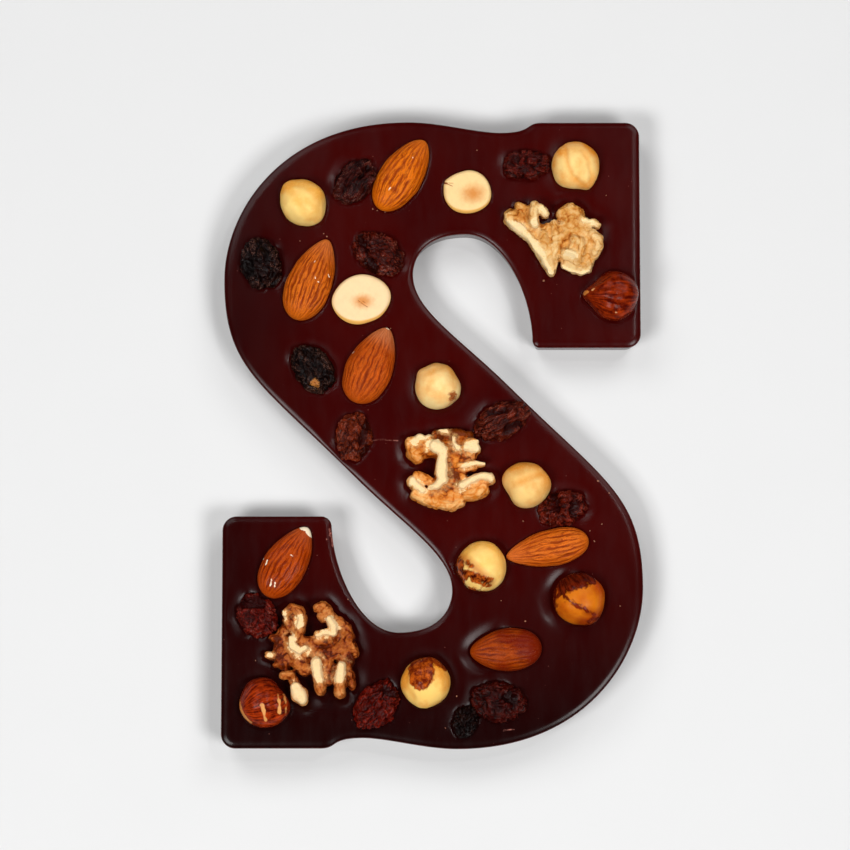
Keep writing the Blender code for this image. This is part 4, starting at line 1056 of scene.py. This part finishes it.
# Each fold: its height over the chocolate, its tone, and the points of its crest with half its thickness
# there, in millimetres from the piece's place
WALNUT_FOLDS = {
    "walnut_1": (
        (4.2, 0.90, ((-12.5, 4.3, 1.3), (-9.6, 1.7, 1.6), (-6.7, -0.7, 1.3), (-4.5, -3.4, 1.6))),
        (4.6, 0.72, ((-12.5, 5.4, 1.3), (-11.2, 5.6, 1.5))),
        (3.4, 0.45, ((-9.6, 7.9, 1.3), (-8.5, 7.6, 1.3))),
        (5.4, 0.85, ((-5.6, 7.4, 1.7), (-5.9, 5.2, 1.6), (-5.6, 2.6, 1.5))),
        (5.0, 0.95, ((-3.8, 7.2, 1.3), (-2.7, 5.8, 1.2))),
        (4.6, 0.85, ((-0.3, 3.2, 1.1), (0.2, -0.2, 1.6), (-0.3, -4.2, 1.9), (-1.1, -7.4, 1.9),
         (-1.1, -10.1, 1.1))),
        (4.4, 0.80, ((-3.2, 0.1, 1.6), (-2.7, -3.1, 1.9), (-1.9, -6.8, 1.6))),
        (4.2, 0.80, ((3.2, 0.9, 0.9), (1.6, -0.7, 1.3), (0.5, -3.4, 1.1))),
        (4.0, 0.92, ((-5.9, -1.7, 1.1), (-4.0, -4.7, 1.3), (-2.4, -7.9, 1.1), (-1.3, -10.5, 0.5))),
        (4.6, 0.55, ((2.1, 5.6, 1.9), (4.2, 6.9, 1.9), (6.1, 5.4, 2.1), (4.0, 3.8, 2.4), (7.4, 3.8, 1.6))),
        (4.2, 0.78, ((8.5, 2.7, 1.1), (10.3, 3.5, 1.1), (11.4, 2.5, 0.9))),
        (5.0, 0.80, ((9.8, 0.0, 1.6), (11.1, -1.1, 1.9), (11.4, -3.2, 1.6), (10.3, -5.1, 1.6))),
        (4.0, 0.70, ((9.3, -7.1, 1.3), (8.2, -8.7, 1.6))),
        (5.6, 0.85, ((5.2, -1.7, 1.6), (6.6, -1.9, 1.6), (7.1, -4.1, 1.3), (6.6, -5.9, 1.3))),
        (5.6, 0.92, ((2.9, -5.4, 1.9), (4.2, -5.9, 1.9), (5.5, -7.3, 1.6))),
        (3.6, 0.97, ((2.7, -8.1, 1.1), (4.8, -9.1, 1.1), (6.9, -9.9, 0.9), (8.8, -9.1, 1.1))),
        (3.2, 0.50, ((-11.4, 5.6, 1.9), (-8.5, 4.6, 2.3), (-5.0, 1.4, 2.6), (-2.4, -2.6, 2.4))),
        (4.3, 0.60, ((3.5, 2.4, 2.4), (7.2, 0.8, 2.9), (8.8, -2.9, 2.4), (6.1, -7.1, 1.9))),
        (4.4, 0.62, ((4.6, -3.6, 1.8), (6.6, -5.0, 1.8))),
        (3.2, 0.60, ((-1.6, 1.6, 2.2), (1.6, 1.4, 2.2), (3.2, -1.6, 2.2), (1.6, -5.6, 1.6))),
    ),
    "walnut_2": (
        (5.8, 0.95, ((-3.4, 6.3, 2.3), (-1.3, 5.0, 1.7))),
        (5.8, 0.95, ((-1.3, 4.5, 1.7), (-1.9, 2.1, 1.7), (-2.1, -0.6, 1.9), (-1.6, -2.7, 1.6),
         (-3.2, -4.3, 1.3), (-4.8, -4.8, 0.9))),
        (4.8, 0.60, ((-9.8, 7.2, 2.0), (-9.0, 4.8, 2.4), (-8.5, 3.7, 1.9))),
        (4.6, 0.62, ((-7.7, 8.0, 1.9), (-6.4, 5.9, 2.1), (-5.3, 8.3, 1.3))),
        (4.4, 0.75, ((-9.8, -2.9, 1.5), (-8.5, -4.2, 1.6), (-7.2, -5.3, 1.3))),
        (3.8, 0.55, ((-8.5, -1.2, 1.2), (-6.4, -2.3, 1.6), (-4.8, -3.1, 1.3))),
        (3.6, 0.75, ((-9.3, -6.5, 1.2), (-6.6, -7.6, 1.6), (-3.4, -8.4, 1.9))),
        (3.8, 0.82, ((-1.3, -8.9, 1.6), (0.8, -9.4, 1.5), (2.9, -8.4, 1.3))),
        (3.6, 0.60, ((-4.8, -6.2, 1.9), (-1.3, -6.2, 1.9), (1.9, -6.2, 1.9))),
        (5.2, 0.95, ((3.5, -4.2, 1.2), (5.6, -2.9, 1.3), (8.2, -1.6, 1.2), (10.6, -1.9, 1.3),
         (11.2, -2.7, 1.1))),
        (4.4, 0.72, ((4.5, -6.6, 1.6), (6.7, -5.8, 2.3), (8.8, -5.0, 2.0))),
        (4.6, 0.90, ((2.7, 1.1, 1.1), (5.1, 1.4, 1.2), (7.4, 1.8, 0.9), (9.3, 1.6, 0.4))),
        (3.4, 0.45, ((1.6, 1.2, 1.6), (4.3, 0.4, 1.2), (6.7, 0.7, 0.8))),
        (4.8, 0.95, ((1.3, 8.5, 0.7), (1.3, 7.2, 0.7), (2.4, 5.9, 0.8))),
        (4.8, 0.95, ((4.5, 6.1, 1.2), (6.4, 6.1, 1.7), (7.2, 5.6, 1.3))),
        (4.9, 0.35, ((4.5, 7.7, 0.7), (6.4, 8.0, 0.8), (7.7, 7.7, 0.5))),
        (3.0, 0.45, ((1.1, 3.9, 1.6), (4.0, 3.9, 1.3), (6.4, 3.9, 1.1))),
        (2.8, 0.08, ((-3.4, 9.8, 1.3), (-0.2, 9.8, 1.6), (2.9, 9.8, 1.6), (5.3, 9.5, 1.1))),
        (3.0, 0.30, ((-7.7, 6.1, 2.7), (-2.4, 6.1, 2.7), (3.5, 5.6, 2.7))),
        (3.4, 0.35, ((0.6, 3.0, 1.8), (4.6, 3.0, 1.8))),
        (3.6, 0.30, ((-0.8, 2.4, 2.4), (1.1, -1.4, 2.7), (-2.4, -5.1, 2.7), (4.5, -4.6, 2.4))),
        (4.0, 0.45, ((0.8, 0.2, 1.8), (3.2, -1.6, 1.6))),
    ),
    "walnut_3": (
        (5.2, 0.45, ((-7.1, 10.6, 1.3), (-5.5, 11.7, 1.5), (-3.6, 11.2, 1.6), (-2.8, 8.8, 1.3),
         (-3.4, 6.1, 1.5), (-4.4, 4.0, 1.5))),
        (3.8, 0.25, ((-6.6, 8.6, 1.6), (-6.1, 6.4, 1.3))),
        (5.6, 0.95, ((-5.7, 4.0, 0.7), (-5.2, 1.9, 1.0), (-3.3, 0.5, 1.2), (-2.0, 1.3, 1.0))),
        (4.8, 0.55, ((1.1, 12.0, 1.2), (2.7, 12.5, 1.5), (4.1, 11.4, 1.3), (2.5, 9.6, 1.5))),
        (5.6, 0.93, ((4.4, 9.0, 1.2), (5.4, 7.2, 1.5), (5.4, 5.3, 1.3), (3.3, 5.6, 0.9), (1.2, 5.0, 0.9))),
        (3.0, 0.15, ((-10.6, 4.1, 1.1), (-8.5, 3.6, 1.3))),
        (3.4, 0.50, ((-11.7, -0.5, 1.1), (-9.8, -0.7, 1.3))),
        (2.4, 0.20, ((-10.1, -3.1, 0.8),)),
        (4.2, 0.55, ((-7.6, -5.8, 1.2), (-5.8, -5.5, 1.3))),
        (5.0, 0.97, ((-4.4, -9.0, 1.6), (-3.4, -10.9, 2.3), (-2.6, -12.2, 1.6))),
        (5.6, 0.60, ((0.9, -2.4, 1.6), (1.2, -4.5, 1.7), (1.7, -6.9, 1.5), (2.0, -9.0, 1.6),
         (2.2, -10.1, 1.2))),
        (3.8, 0.35, ((3.5, -3.9, 1.1), (3.8, -7.6, 1.1))),
        (4.2, 0.40, ((-5.2, 8.6, 1.4), (-4.8, 5.6, 1.5))),
        (4.4, 0.50, ((3.6, 10.2, 1.7), (5.8, 8.4, 1.6), (7.4, 6.8, 1.4))),
        (3.2, 0.35, ((-4.6, -8.0, 1.4), (-5.6, -6.2, 1.2))),
        (5.4, 0.62, ((7.5, -3.4, 1.6), (7.3, -5.6, 1.7), (7.3, -8.2, 1.6), (7.3, -10.4, 1.6))),
        (4.0, 0.32, ((7.2, 8.8, 1.1), (8.6, 6.7, 1.6), (9.6, 4.3, 1.6))),
        (3.6, 0.42, ((10.4, 2.2, 1.2), (11.2, -0.2, 1.1))),
        (2.8, 0.12, ((9.9, -2.0, 1.3),)),
        (3.4, 0.28, ((10.2, -5.5, 0.9), (10.4, -8.7, 1.1))),
        (3.9, 0.38, ((-6.1, 2.2, 2.1), (-3.9, -1.8, 2.4), (-2.1, -4.2, 1.9))),
        (4.1, 0.42, ((-2.3, 3.0, 1.6), (0.9, 3.0, 1.6), (4.0, 3.3, 1.6))),
        (3.8, 0.35, ((2.4, -0.4, 2.1), (5.6, 0.4, 2.4), (8.3, 2.0, 2.1))),
        (3.9, 0.40, ((-1.0, 0.4, 2.2), (1.4, 0.0, 2.2))),
        (3.6, 0.35, ((4.2, -3.0, 1.7), (4.6, -7.0, 1.4))),
        (3.2, 0.30, ((-7.7, 5.7, 1.9), (-8.5, 1.4, 2.1), (-7.7, -2.3, 2.1))),
        (3.2, 0.30, ((7.7, 5.2, 1.9), (8.5, 0.4, 2.4), (8.5, -4.9, 1.9))),
    ),
}
# Where the skin is rubbed off: half width and line, in millimetres from the piece's place
WALNUT_RUBS = {
    "walnut_1": ((0.7, (-13.2, 3.0), (-10.2, 1.4), (-7.6, -0.5), (-5.2, -3.3), (-3.3, -6.0)),
                 (1.1, (-11.3, 2.1), (-8.9, 1.6)),
                 (0.6, (-4.6, -4.3), (-3.3, -7.0), (-1.7, -9.7), (-1.2, -11.1)),
                 (0.7, (-3.6, 6.6), (-3.0, 5.8), (-2.5, 4.7)), (0.8, (-5.7, 3.1), (-5.2, 1.4)),
                 (0.8, (3.2, -5.4), (5.0, -5.8)),
                 (0.7, (1.8, -8.9), (3.9, -9.9), (6.6, -10.8), (8.7, -10.2)),
                 (0.5, (7.7, 3.7), (9.8, 3.5), (10.3, 2.1))),
    "walnut_2": ((2.1, (-4.0, 5.9), (-2.9, 5.3)), (1.7, (-2.3, 3.5), (-1.8, -0.3), (-1.5, -2.4)),
                 (1.4, (-2.1, -3.4), (-4.0, -4.6)), (1.1, (-9.5, -3.1), (-6.6, -5.2)),
                 (1.1, (3.2, -4.5), (5.5, -2.9), (8.2, -1.6), (10.8, -2.1)),
                 (0.6, (4.0, 0.9), (6.6, 1.7), (9.3, 1.7)), (0.6, (1.3, 8.4), (1.3, 6.8), (2.4, 5.7)),
                 (1.5, (5.4, 6.0), (6.9, 6.1)), (0.9, (-9.3, 7.3), (-8.2, 8.7), (-5.8, 9.2)),
                 (0.5, (-1.9, 11.0), (-0.8, 10.6))),
    "walnut_3": ((1.1, (-5.9, 4.3), (-5.3, 1.7), (-3.5, -0.1), (-1.6, 0.7)),
                 (0.9, (-3.5, 9.1), (-3.5, 7.5)), (0.4, (-7.2, 10.7), (-7.5, 8.9)),
                 (1.1, (4.6, 8.6), (6.0, 6.4), (5.7, 4.9)), (0.8, (4.1, 5.1), (2.8, 4.9)),
                 (0.6, (1.5, 4.5), (1.9, 4.5)), (2.1, (-4.0, -9.5), (-2.8, -11.6)),
                 (1.5, (1.0, -2.0), (1.0, -4.0), (1.9, -6.2)), (1.3, (8.0, -3.0), (7.6, -5.1), (6.9, -6.5)),
                 (0.5, (-11.5, -0.5), (-11.0, -0.5))),
}
# Valleys between the folds, painted darker as shade
WALNUT_SHADED_VALLEYS = {
    "walnut_1": ((0.5, (4.2, 0.0), (1.8, -2.4), (0.4, -6.0)), (0.7, (-11.0, 6.6), (-9.4, 4.9), (-7.6, 3.3)),
                 (0.5, (-1.7, 3.8), (-3.3, 2.5)), (0.4, (8.2, -3.6), (6.6, -6.6))),
    "walnut_2": ((0.9, (0.8, -0.5), (2.4, -3.1), (-0.8, -5.8)), (0.7, (0.3, 4.9), (2.9, 3.8), (6.1, 3.0)),
                 (0.6, (1.9, -1.0), (5.0, 0.1)), (0.9, (-4.5, -6.9), (-1.3, -7.5)),
                 (1.1, (-0.8, 9.1), (3.5, 10.7), (6.6, 9.7))),
    "walnut_3": ((1.1, (3.0, 2.2), (4.1, -0.7)), (1.0, (9.9, -0.5), (10.9, -2.9)),
                 (1.0, (-9.1, 3.5), (-9.6, -1.8)), (0.7, (-1.8, 5.1), (-0.7, 3.5)),
                 (0.8, (4.6, -3.9), (5.1, -7.1))),
}


def walnut_heap(node):
    """The folds of one piece as rows of steep-sided eggs, rooted under the chocolate's surface."""
    egg, egg_faces = ball(EGG_SIDES, EGG_RINGS)
    egg = egg[:, (1, 2, 0)]
    egg[:, 2] = np.copysign(np.abs(egg[:, 2]) ** EGG_SQUARENESS, egg[:, 2])
    points = []
    faces = []
    for crest, _, corners in WALNUT_FOLDS[node]:
        tall = (crest * MM + WALNUT_ROOT) / 2
        for start, end in zip(corners, corners[1:] or corners):
            start, end = np.array(start) * MM, np.array(end) * MM
            steps = max(1, round(np.linalg.norm(end - start) / FOLD_STEP))
            for step in range(steps + 1):
                px, py, half = start + (end - start) * step / steps
                first = len(points) * len(egg)
                points.append(egg * (half, half, tall) + (px, py, crest * MM - tall))
                faces += [[corner + first for corner in face] for face in egg_faces]
    return mesh_of(node + "_heap", np.concatenate(points), faces)


def one_skin(name, heap):
    """A heap of overlapping lumps as one closed mesh of small even faces."""
    lump = on_scene(name + "_heap", heap)
    joined = lump.modifiers.new("joined", "REMESH")
    joined.mode = "VOXEL"
    joined.voxel_size = WALNUT_VOXEL
    eased = lump.modifiers.new("eased", "SMOOTH")
    eased.factor = 0.5
    eased.iterations = WALNUT_EASED
    bpy.context.view_layer.update()
    evaluated = lump.evaluated_get(bpy.context.evaluated_depsgraph_get())
    mesh = bpy.data.meshes.new_from_object(evaluated)
    mesh.name = name
    bpy.data.objects.remove(lump)
    bpy.data.meshes.remove(heap)
    mesh.shade_smooth()
    return mesh


def walnut_finish(name, deep, middle, light, rubbed):
    made = Finish(name, 0.5)
    made.set("Specular IOR Level", WALNUT_GLOSS)
    fine = made.mottle(0.5 * MM, 5.0, 0.65)
    broad = made.spread(made.mottle(2.4 * MM, 4.0, 0.6), 0.35, 0.65, -0.16, 0.16)
    # Painted shade: darker in the creases, low under the crests and along the valleys
    sunk = made.plus(made.times(made.held("crease"), -0.30), made.times(made.held("valley_shade"), -0.18))
    tone = made.plus(made.held("tone"), made.spread(fine, 0.3, 0.7, -0.09, 0.09), broad, sunk)
    skin = made.ramp(tone, (0.0, shade(deep, 0.45)), (0.08, deep), (0.42, middle), (0.92, light))
    skin = made.mix(made.spread(made.cells(1.5 * MM), 0.0, 0.07, 0.14, 0.0), skin, deep)
    ragged = made.plus(made.held("rub_mm"), made.clouds(-0.6, 0.6, 0.9 * MM, 5.0, 0.65))
    # Painted light: the skin lighter just outside each rubbed spot, where its slope is lit
    skin = made.mix(made.spread(ragged, -1.1, 0.0, 0.0, 0.6), skin, light)
    pitted = made.spread(made.mottle(0.35 * MM, 4.0, 0.6), 0.54, 0.70, 0.0, 0.7)
    flesh = made.mix(pitted, rubbed, shade(rubbed, 0.82, 0.66, 0.48))
    made.set("Base Color", made.mix(made.spread(ragged, -0.08, 0.10), skin, flesh))
    made.set("Roughness", made.spread(ragged, -0.1, 0.1, 0.28, 0.6))
    made.set("Normal", made.bump(fine, 0.14 * MM))
    made.flesh(*WALNUT_FLESH)
    return made.material


def fold_looks(node, points):
    """The tone and the height of the folds that each point belongs to."""
    weight = np.full(len(points), 1e-9)
    tone = np.zeros(len(points))
    crest = np.zeros(len(points))
    for height, fold_tone, corners in WALNUT_FOLDS[node]:
        near = np.exp(np.clip(inside_lines(points, ((0, *corners),)) / FOLD_BLEND, -20, 8))
        near *= np.exp(np.clip((points[:, 2] / MM - height + 1.2) / CREST_BLEND, -10, 0)) + 1e-4
        weight += near
        tone += near * fold_tone
        crest += near * height
    return tone / weight, crest / weight * MM


def rubbed_spots(node, points):
    """How far inside a rubbed spot each point is, in millimetres, and the height it is rubbed down to."""
    rub = np.full(len(points), OUTSIDE)
    cut = np.full(len(points), 1.0)
    for line in WALNUT_RUBS[node]:
        inside = inside_lines(points, (line,))
        level = np.percentile(points[inside > line[0] / 2, 2], 85)
        rub = np.maximum(rub, np.minimum(inside + 0.15, (points[:, 2] - level) / MM + RUB_REACH))
        cut = np.minimum(cut, level - RUB_FLAT + RUB_SLOPE * np.clip(-inside, 0, 9))
    return rub, cut


def walnut(node):
    x, y = WALNUT_PLACES[node]
    mesh = one_skin(node + "_kernel", walnut_heap(node))
    points = read_points(mesh)
    seed = unlike(node)
    tone, crest = fold_looks(node, points)
    normals = np.empty(points.size)
    mesh.vertices.foreach_get("normal", normals)
    normals = normals.reshape(-1, 3)
    rub, cut = rubbed_spots(node, points)
    rub = np.where(normals[:, 2] > -0.1, rub, OUTSIDE)
    skinned = 1.0 - soft_step(rub / 0.3 + 0.5)
    bend = np.column_stack([lumps(points, 2.2 * MM, seed + shift) for shift in (3, 13, 29)])
    bent = points + 0.6 * MM * bend
    crease = ridges(bent, 1.9 * MM, seed, 5.0) * skinned
    wrinkle = ridges(bent, 0.8 * MM, seed + 9, 3.5) * skinned
    crumpled = CRUMPLE_DEPTH * lumps(points, 2.4 * MM, seed) + 0.06 * MM * lumps(points, 0.7 * MM, seed)
    points += normals * (crumpled - CREASE_DEPTH * crease - WRINKLE_DEPTH * wrinkle)[:, None]
    points[:, 2] = np.minimum(points[:, 2], cut + 0.20 * MM * lumps(points, 1.2 * MM, seed))
    write_points(mesh, points)
    hold(mesh, "tone", tone)
    hold(mesh, "rub_mm", rub)
    hold(mesh, "crease", np.clip(crease + 0.4 * wrinkle, 0, 1))
    # Painted shade: darker the lower a point lies under its fold's crest, and along the valleys
    deep = np.clip(1.1 - 1.2 * points[:, 2] / np.maximum(crest, 1.0 * MM), 0, 1)
    valley_shade = soft_step(0.5 + inside_lines(points, WALNUT_SHADED_VALLEYS[node])) * (rub < 0.2)
    hold(mesh, "valley_shade", deep + valley_shade)
    finish = walnut_finish(node + "_finish", *WALNUT_SKIN[node])
    press_in(node, mesh, (x, y, TOP), flat_turn(0), finish)


for node in WALNUT_FOLDS:
    walnut(node)

# A few crumbs of nut lie on the chocolate, stuck where they fell. Each is a small broken grain; they are so
# many and so fine that they are one piece.
CRUMB_SINK = 0.3
CRUMB_FORM = (1.25, 1.0, 0.8)
CRUMB_DARK = srgb(110, 54, 36)
CRUMB_LIGHT = srgb(176, 120, 88)
# Centre x and y and size of each, in millimetres from the middle of the letter
CRUMBS = ((29.9, 40.7, 0.7), (24.1, -24.0, 0.5), (45.0, -24.8, 0.5), (44.1, -13.3, 0.6), (47.0, -16.5, 0.5),
          (20.5, -52.4, 0.5), (49.7, -46.6, 0.4), (-16.0, 60.3, 0.6), (-14.8, 59.9, 0.4), (-12.7, 59.5, 0.5),
          (-28.4, 52.8, 0.5), (-29.2, 53.6, 0.3), (-11.2, 27.8, 0.4), (-35.6, 51.6, 0.3), (-20.6, 4.9, 0.4),
          (41.8, -26.6, 0.4), (43.0, -29.4, 0.5), (18.2, -45.2, 0.3), (24.6, -50.6, 0.5), (3.4, -78.8, 0.4),
          (6.4, -70.4, 0.4), (-22.4, -44.8, 0.4), (-46.8, -61.0, 0.3), (46.8, 64.0, 0.3), (12.0, 76.4, 0.4))


def crumbs():
    bm = bmesh.new()
    bmesh.ops.create_icosphere(bm, subdivisions=2, radius=0.5)
    grain = np.array([vert.co for vert in bm.verts])
    grain_faces = [[vert.index for vert in face.verts] for face in bm.faces]
    bm.free()
    points = []
    faces = []
    for place, (x, y, size) in enumerate(CRUMBS):
        seed = np.array((place * 1.7, place * 3.1, 0.5))
        uneven = 0.75 * size * MM * (1.0 + 0.7 * lumps(grain, 0.45, seed))
        turned = Matrix.Rotation(place * 2.1, 3, "Z").to_euler()
        first = len(points) * len(grain)
        height = TOP + (0.4 - CRUMB_SINK) * size * MM
        points.append(turned_as(grain * uneven[:, None] * CRUMB_FORM, turned) + (x * MM, y * MM, height))
        faces += [[corner + first for corner in face] for face in grain_faces]
    mesh = mesh_of("nut_crumbs", np.concatenate(points), faces)
    made = Finish("crumb", 0.55)
    made.set("Base Color", made.ramp(made.mottle(0.5 * MM, 3.0), (0.35, CRUMB_DARK), (0.65, CRUMB_LIGHT)))
    made.set("Normal", made.bump(made.mottle(0.15 * MM, 3.0), 0.05 * MM))
    mesh.materials.append(made.material)
    piece = on_scene("nut_crumbs", mesh)
    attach(piece, "root")


crumbs()

# The chocolate was soft when the nuts and fruit went in, and it set round them: it closes up to each with a
# narrow gap, and sags in a broad dip beside some. The poured face has the faint swell of something that was
# stirred.
LEVEL_BAND = 0.35 * MM
GAP_DEPTH = 0.16 * MM
GAP_WIDTH = 0.6 * MM
RIM_KEPT = 2.4 * MM
EVENING = 12
SWELL = 0.030 * MM
SWELL_SIZE = 14 * MM
ALL_ROUND = 180
# Broad dips: depth and width, and the side of the topping that has it, in degrees, with how far round it
# goes
DIPS = {
    "walnut_1": (1.1 * MM, 4.2 * MM, 62, 62), "walnut_2": (0.8 * MM, 3.2 * MM, 90, 130),
    "walnut_3": (1.0 * MM, 3.6 * MM, 40, 180), "almond_6": (1.1 * MM, 4.0 * MM, 160, 70),
    "almond_4": (0.4 * MM, 1.6 * MM, 170, 90),
    "hazelnut_9": (1.2 * MM, 4.4 * MM, 170, 75), "hazelnut_10": (0.7 * MM, 3.4 * MM, 45, 70),
    "hazelnut_8": (0.7 * MM, 3.2 * MM, 80, 110), "hazelnut_11": (0.9 * MM, 3.4 * MM, 60, 90),
    "hazelnut_6": (0.5 * MM, 2.6 * MM, 0, 180), "hazelnut_4": (0.4 * MM, 2.2 * MM, 180, 90),
    "raisin_1": (0.8 * MM, 2.6 * MM, 140, 60), "raisin_2": (0.9 * MM, 3.0 * MM, 10, 60),
    "raisin_3": (0.6 * MM, 2.4 * MM, 20, 60), "raisin_4": (0.8 * MM, 2.4 * MM, 70, 100),
    "raisin_6": (0.6 * MM, 2.0 * MM, 120, 70), "raisin_7": (1.0 * MM, 3.2 * MM, 155, 55),
    "raisin_8": (0.9 * MM, 2.8 * MM, 60, 110), "raisin_9": (0.9 * MM, 3.0 * MM, 165, 75),
    "raisin_10": (0.5 * MM, 2.4 * MM, 60, 90), "raisin_11": (0.7 * MM, 3.0 * MM, 150, 80),
    "raisin_5": (0.6 * MM, 2.2 * MM, 170, 90), "raisin_12": (0.5 * MM, 2.0 * MM, 130, 80),
}


def evened(mesh, chosen, values):
    """The values of the chosen points, each drawn towards its neighbours' until the steps are gone."""
    ends = np.empty(len(mesh.edges) * 2, np.int32)
    mesh.edges.foreach_get("vertices", ends)
    place = np.full(len(chosen), -1)
    place[chosen] = np.arange(len(values))
    ends = place[ends.reshape(-1, 2)]
    ends = ends[np.all(ends >= 0, axis=1)]
    count = 1.0 + np.bincount(ends.ravel(), minlength=len(values))
    for _ in range(EVENING):
        total = values + np.bincount(ends[:, 0], values[ends[:, 1]], len(values))
        values = (total + np.bincount(ends[:, 1], values[ends[:, 0]], len(values))) / count
    return values


def settle_round_toppings(mesh):
    points = read_points(mesh)
    from_rim = np.empty(len(points), np.float32)
    mesh.attributes["from_rim_mm"].data.foreach_get("value", from_rim)
    on_top = points[:, 2] > TOP - 2 * SHOULDER_DROP
    top = points[on_top]
    kept = soft_step(from_rim[on_top] * MM / RIM_KEPT)
    drop = np.zeros(len(top))
    gap = np.zeros(len(top))
    for node, topping in pressed_in.items():
        depth, width, side, reach = DIPS.get(node, (0.0, GAP_WIDTH, 0, ALL_ROUND))
        level = topping[np.abs(topping[:, 2] - TOP + 0.3 * depth) < LEVEL_BAND][:, :2]
        tree = KDTree(len(level))
        for index, (px, py) in enumerate(level.tolist()):
            tree.insert((px, py, 0.0), index)
        tree.balance()
        low = level.min(axis=0) - width
        high = level.max(axis=0) + width
        near = np.flatnonzero(np.all((top[:, :2] > low) & (top[:, :2] < high), axis=1))
        away = np.array([tree.find((px, py, 0.0))[2] for px, py in top[near, :2].tolist()])
        out = top[near, :2] - level.mean(axis=0)
        turned = np.abs((np.degrees(np.arctan2(out[:, 1], out[:, 0])) - side + 180.0) % 360.0 - 180.0)
        share = 1.0 if reach == ALL_ROUND else soft_step((reach + 25.0 - turned) / 50.0)
        fall = np.clip(1.0 - away / width, 0, 1)
        dip = depth * share * fall * fall * (1.6 - 0.6 * fall)
        drop[near] = np.maximum(drop[near], dip)
        gap[near] = np.maximum(gap[near], GAP_DEPTH * np.clip(1.0 - away / GAP_WIDTH, 0, 1))
    points[on_top, 2] -= (evened(mesh, on_top, drop) + gap) * kept
    points[on_top, 2] += SWELL * lumps(top, SWELL_SIZE, np.zeros(3)) * kept
    write_points(mesh, points)


settle_round_toppings(letter_bar.data)

# A pale studio table to lie on. Two softboxes stand in front, to the sides, and two wider and dimmer ones
# behind. Three small lamps put a glint on whatever is glossy.
FLOOR_SIZE = 6.0
FLOOR_COLOUR = (0.72, 0.72, 0.72, 1.0)


def studio_floor():
    bm = bmesh.new()
    bmesh.ops.create_grid(bm, x_segments=8, y_segments=8, size=FLOOR_SIZE / 2)
    mesh = bpy.data.meshes.new("studio_floor")
    bm.to_mesh(mesh)
    bm.free()
    made = on_scene("studio_floor", mesh)
    paper = Finish("studio_paper", 0.7)
    paper.set("Base Color", paper.mix(paper.mottle(30 * MM, 2.0), FLOOR_COLOUR, shade(FLOOR_COLOUR, 0.98)))
    mesh.materials.append(paper.material)


def softbox(name, place, size, power):
    lamp = bpy.data.lights.new(name, "AREA")
    lamp.shape = "SQUARE"
    lamp.size = size
    lamp.energy = power
    made = on_scene(name, lamp)
    made.location = place
    made.rotation_euler = (-Vector(place)).to_track_quat("-Z", "Y").to_euler()
    made.visible_camera = False


studio_floor()
for side, name in ((-1, "left"), (1, "right")):
    softbox(name + "_softbox", (side * 0.42, -0.34, 0.82), 0.30, 4.6)
    softbox(name + "_filler", (side * 0.40, 0.50, 0.70), 0.45, 2.0)
softbox("right_glint", (0.30, 0.20, 0.95), 0.05, 0.6)
softbox("left_glint", (-0.26, -0.45, 0.86), 0.05, 0.5)
softbox("back_glint", (-0.22, 0.34, 0.92), 0.05, 0.3)

AMBIENT = 0.008
BACKDROP = 0.9
world = bpy.data.worlds.new("studio")
bpy.context.scene.world = world
world.use_nodes = True
background = world.node_tree.nodes["Background"]
seen_directly = world.node_tree.nodes.new("ShaderNodeLightPath").outputs["Is Camera Ray"]
brightness = world.node_tree.nodes.new("ShaderNodeMapRange")
brightness.inputs["To Min"].default_value = AMBIENT
brightness.inputs["To Max"].default_value = BACKDROP
world.node_tree.links.new(seen_directly, brightness.inputs["Value"])
world.node_tree.links.new(brightness.outputs["Result"], background.inputs["Strength"])
background.inputs["Color"].default_value = (1.0, 1.0, 1.0, 1.0)
bpy.context.scene.view_settings.view_transform = "Standard"

# The camera looks down on the letter from a little in front of it, through a long lens.
CAMERA_PLACE = Vector((-0.25 * MM, -104.54 * MM, TOP + 843.66 * MM))
CAMERA_AIM = Vector((-1.98 * MM, 1.74 * MM, TOP))
CAMERA_LENS = 135.0
SENSOR = 36.0

camera_data = bpy.data.cameras.new("camera")
camera_data.lens = CAMERA_LENS
camera_data.sensor_width = SENSOR
camera_data.sensor_fit = "HORIZONTAL"
camera = on_scene("camera", camera_data)
ahead = (CAMERA_AIM - CAMERA_PLACE).normalized()
right = ahead.cross(Vector((0, 1, 0))).normalized()
turned = Matrix((right, right.cross(ahead), -ahead)).transposed().to_4x4()
camera.matrix_world = Matrix.Translation(CAMERA_PLACE) @ turned
bpy.context.scene.camera = camera
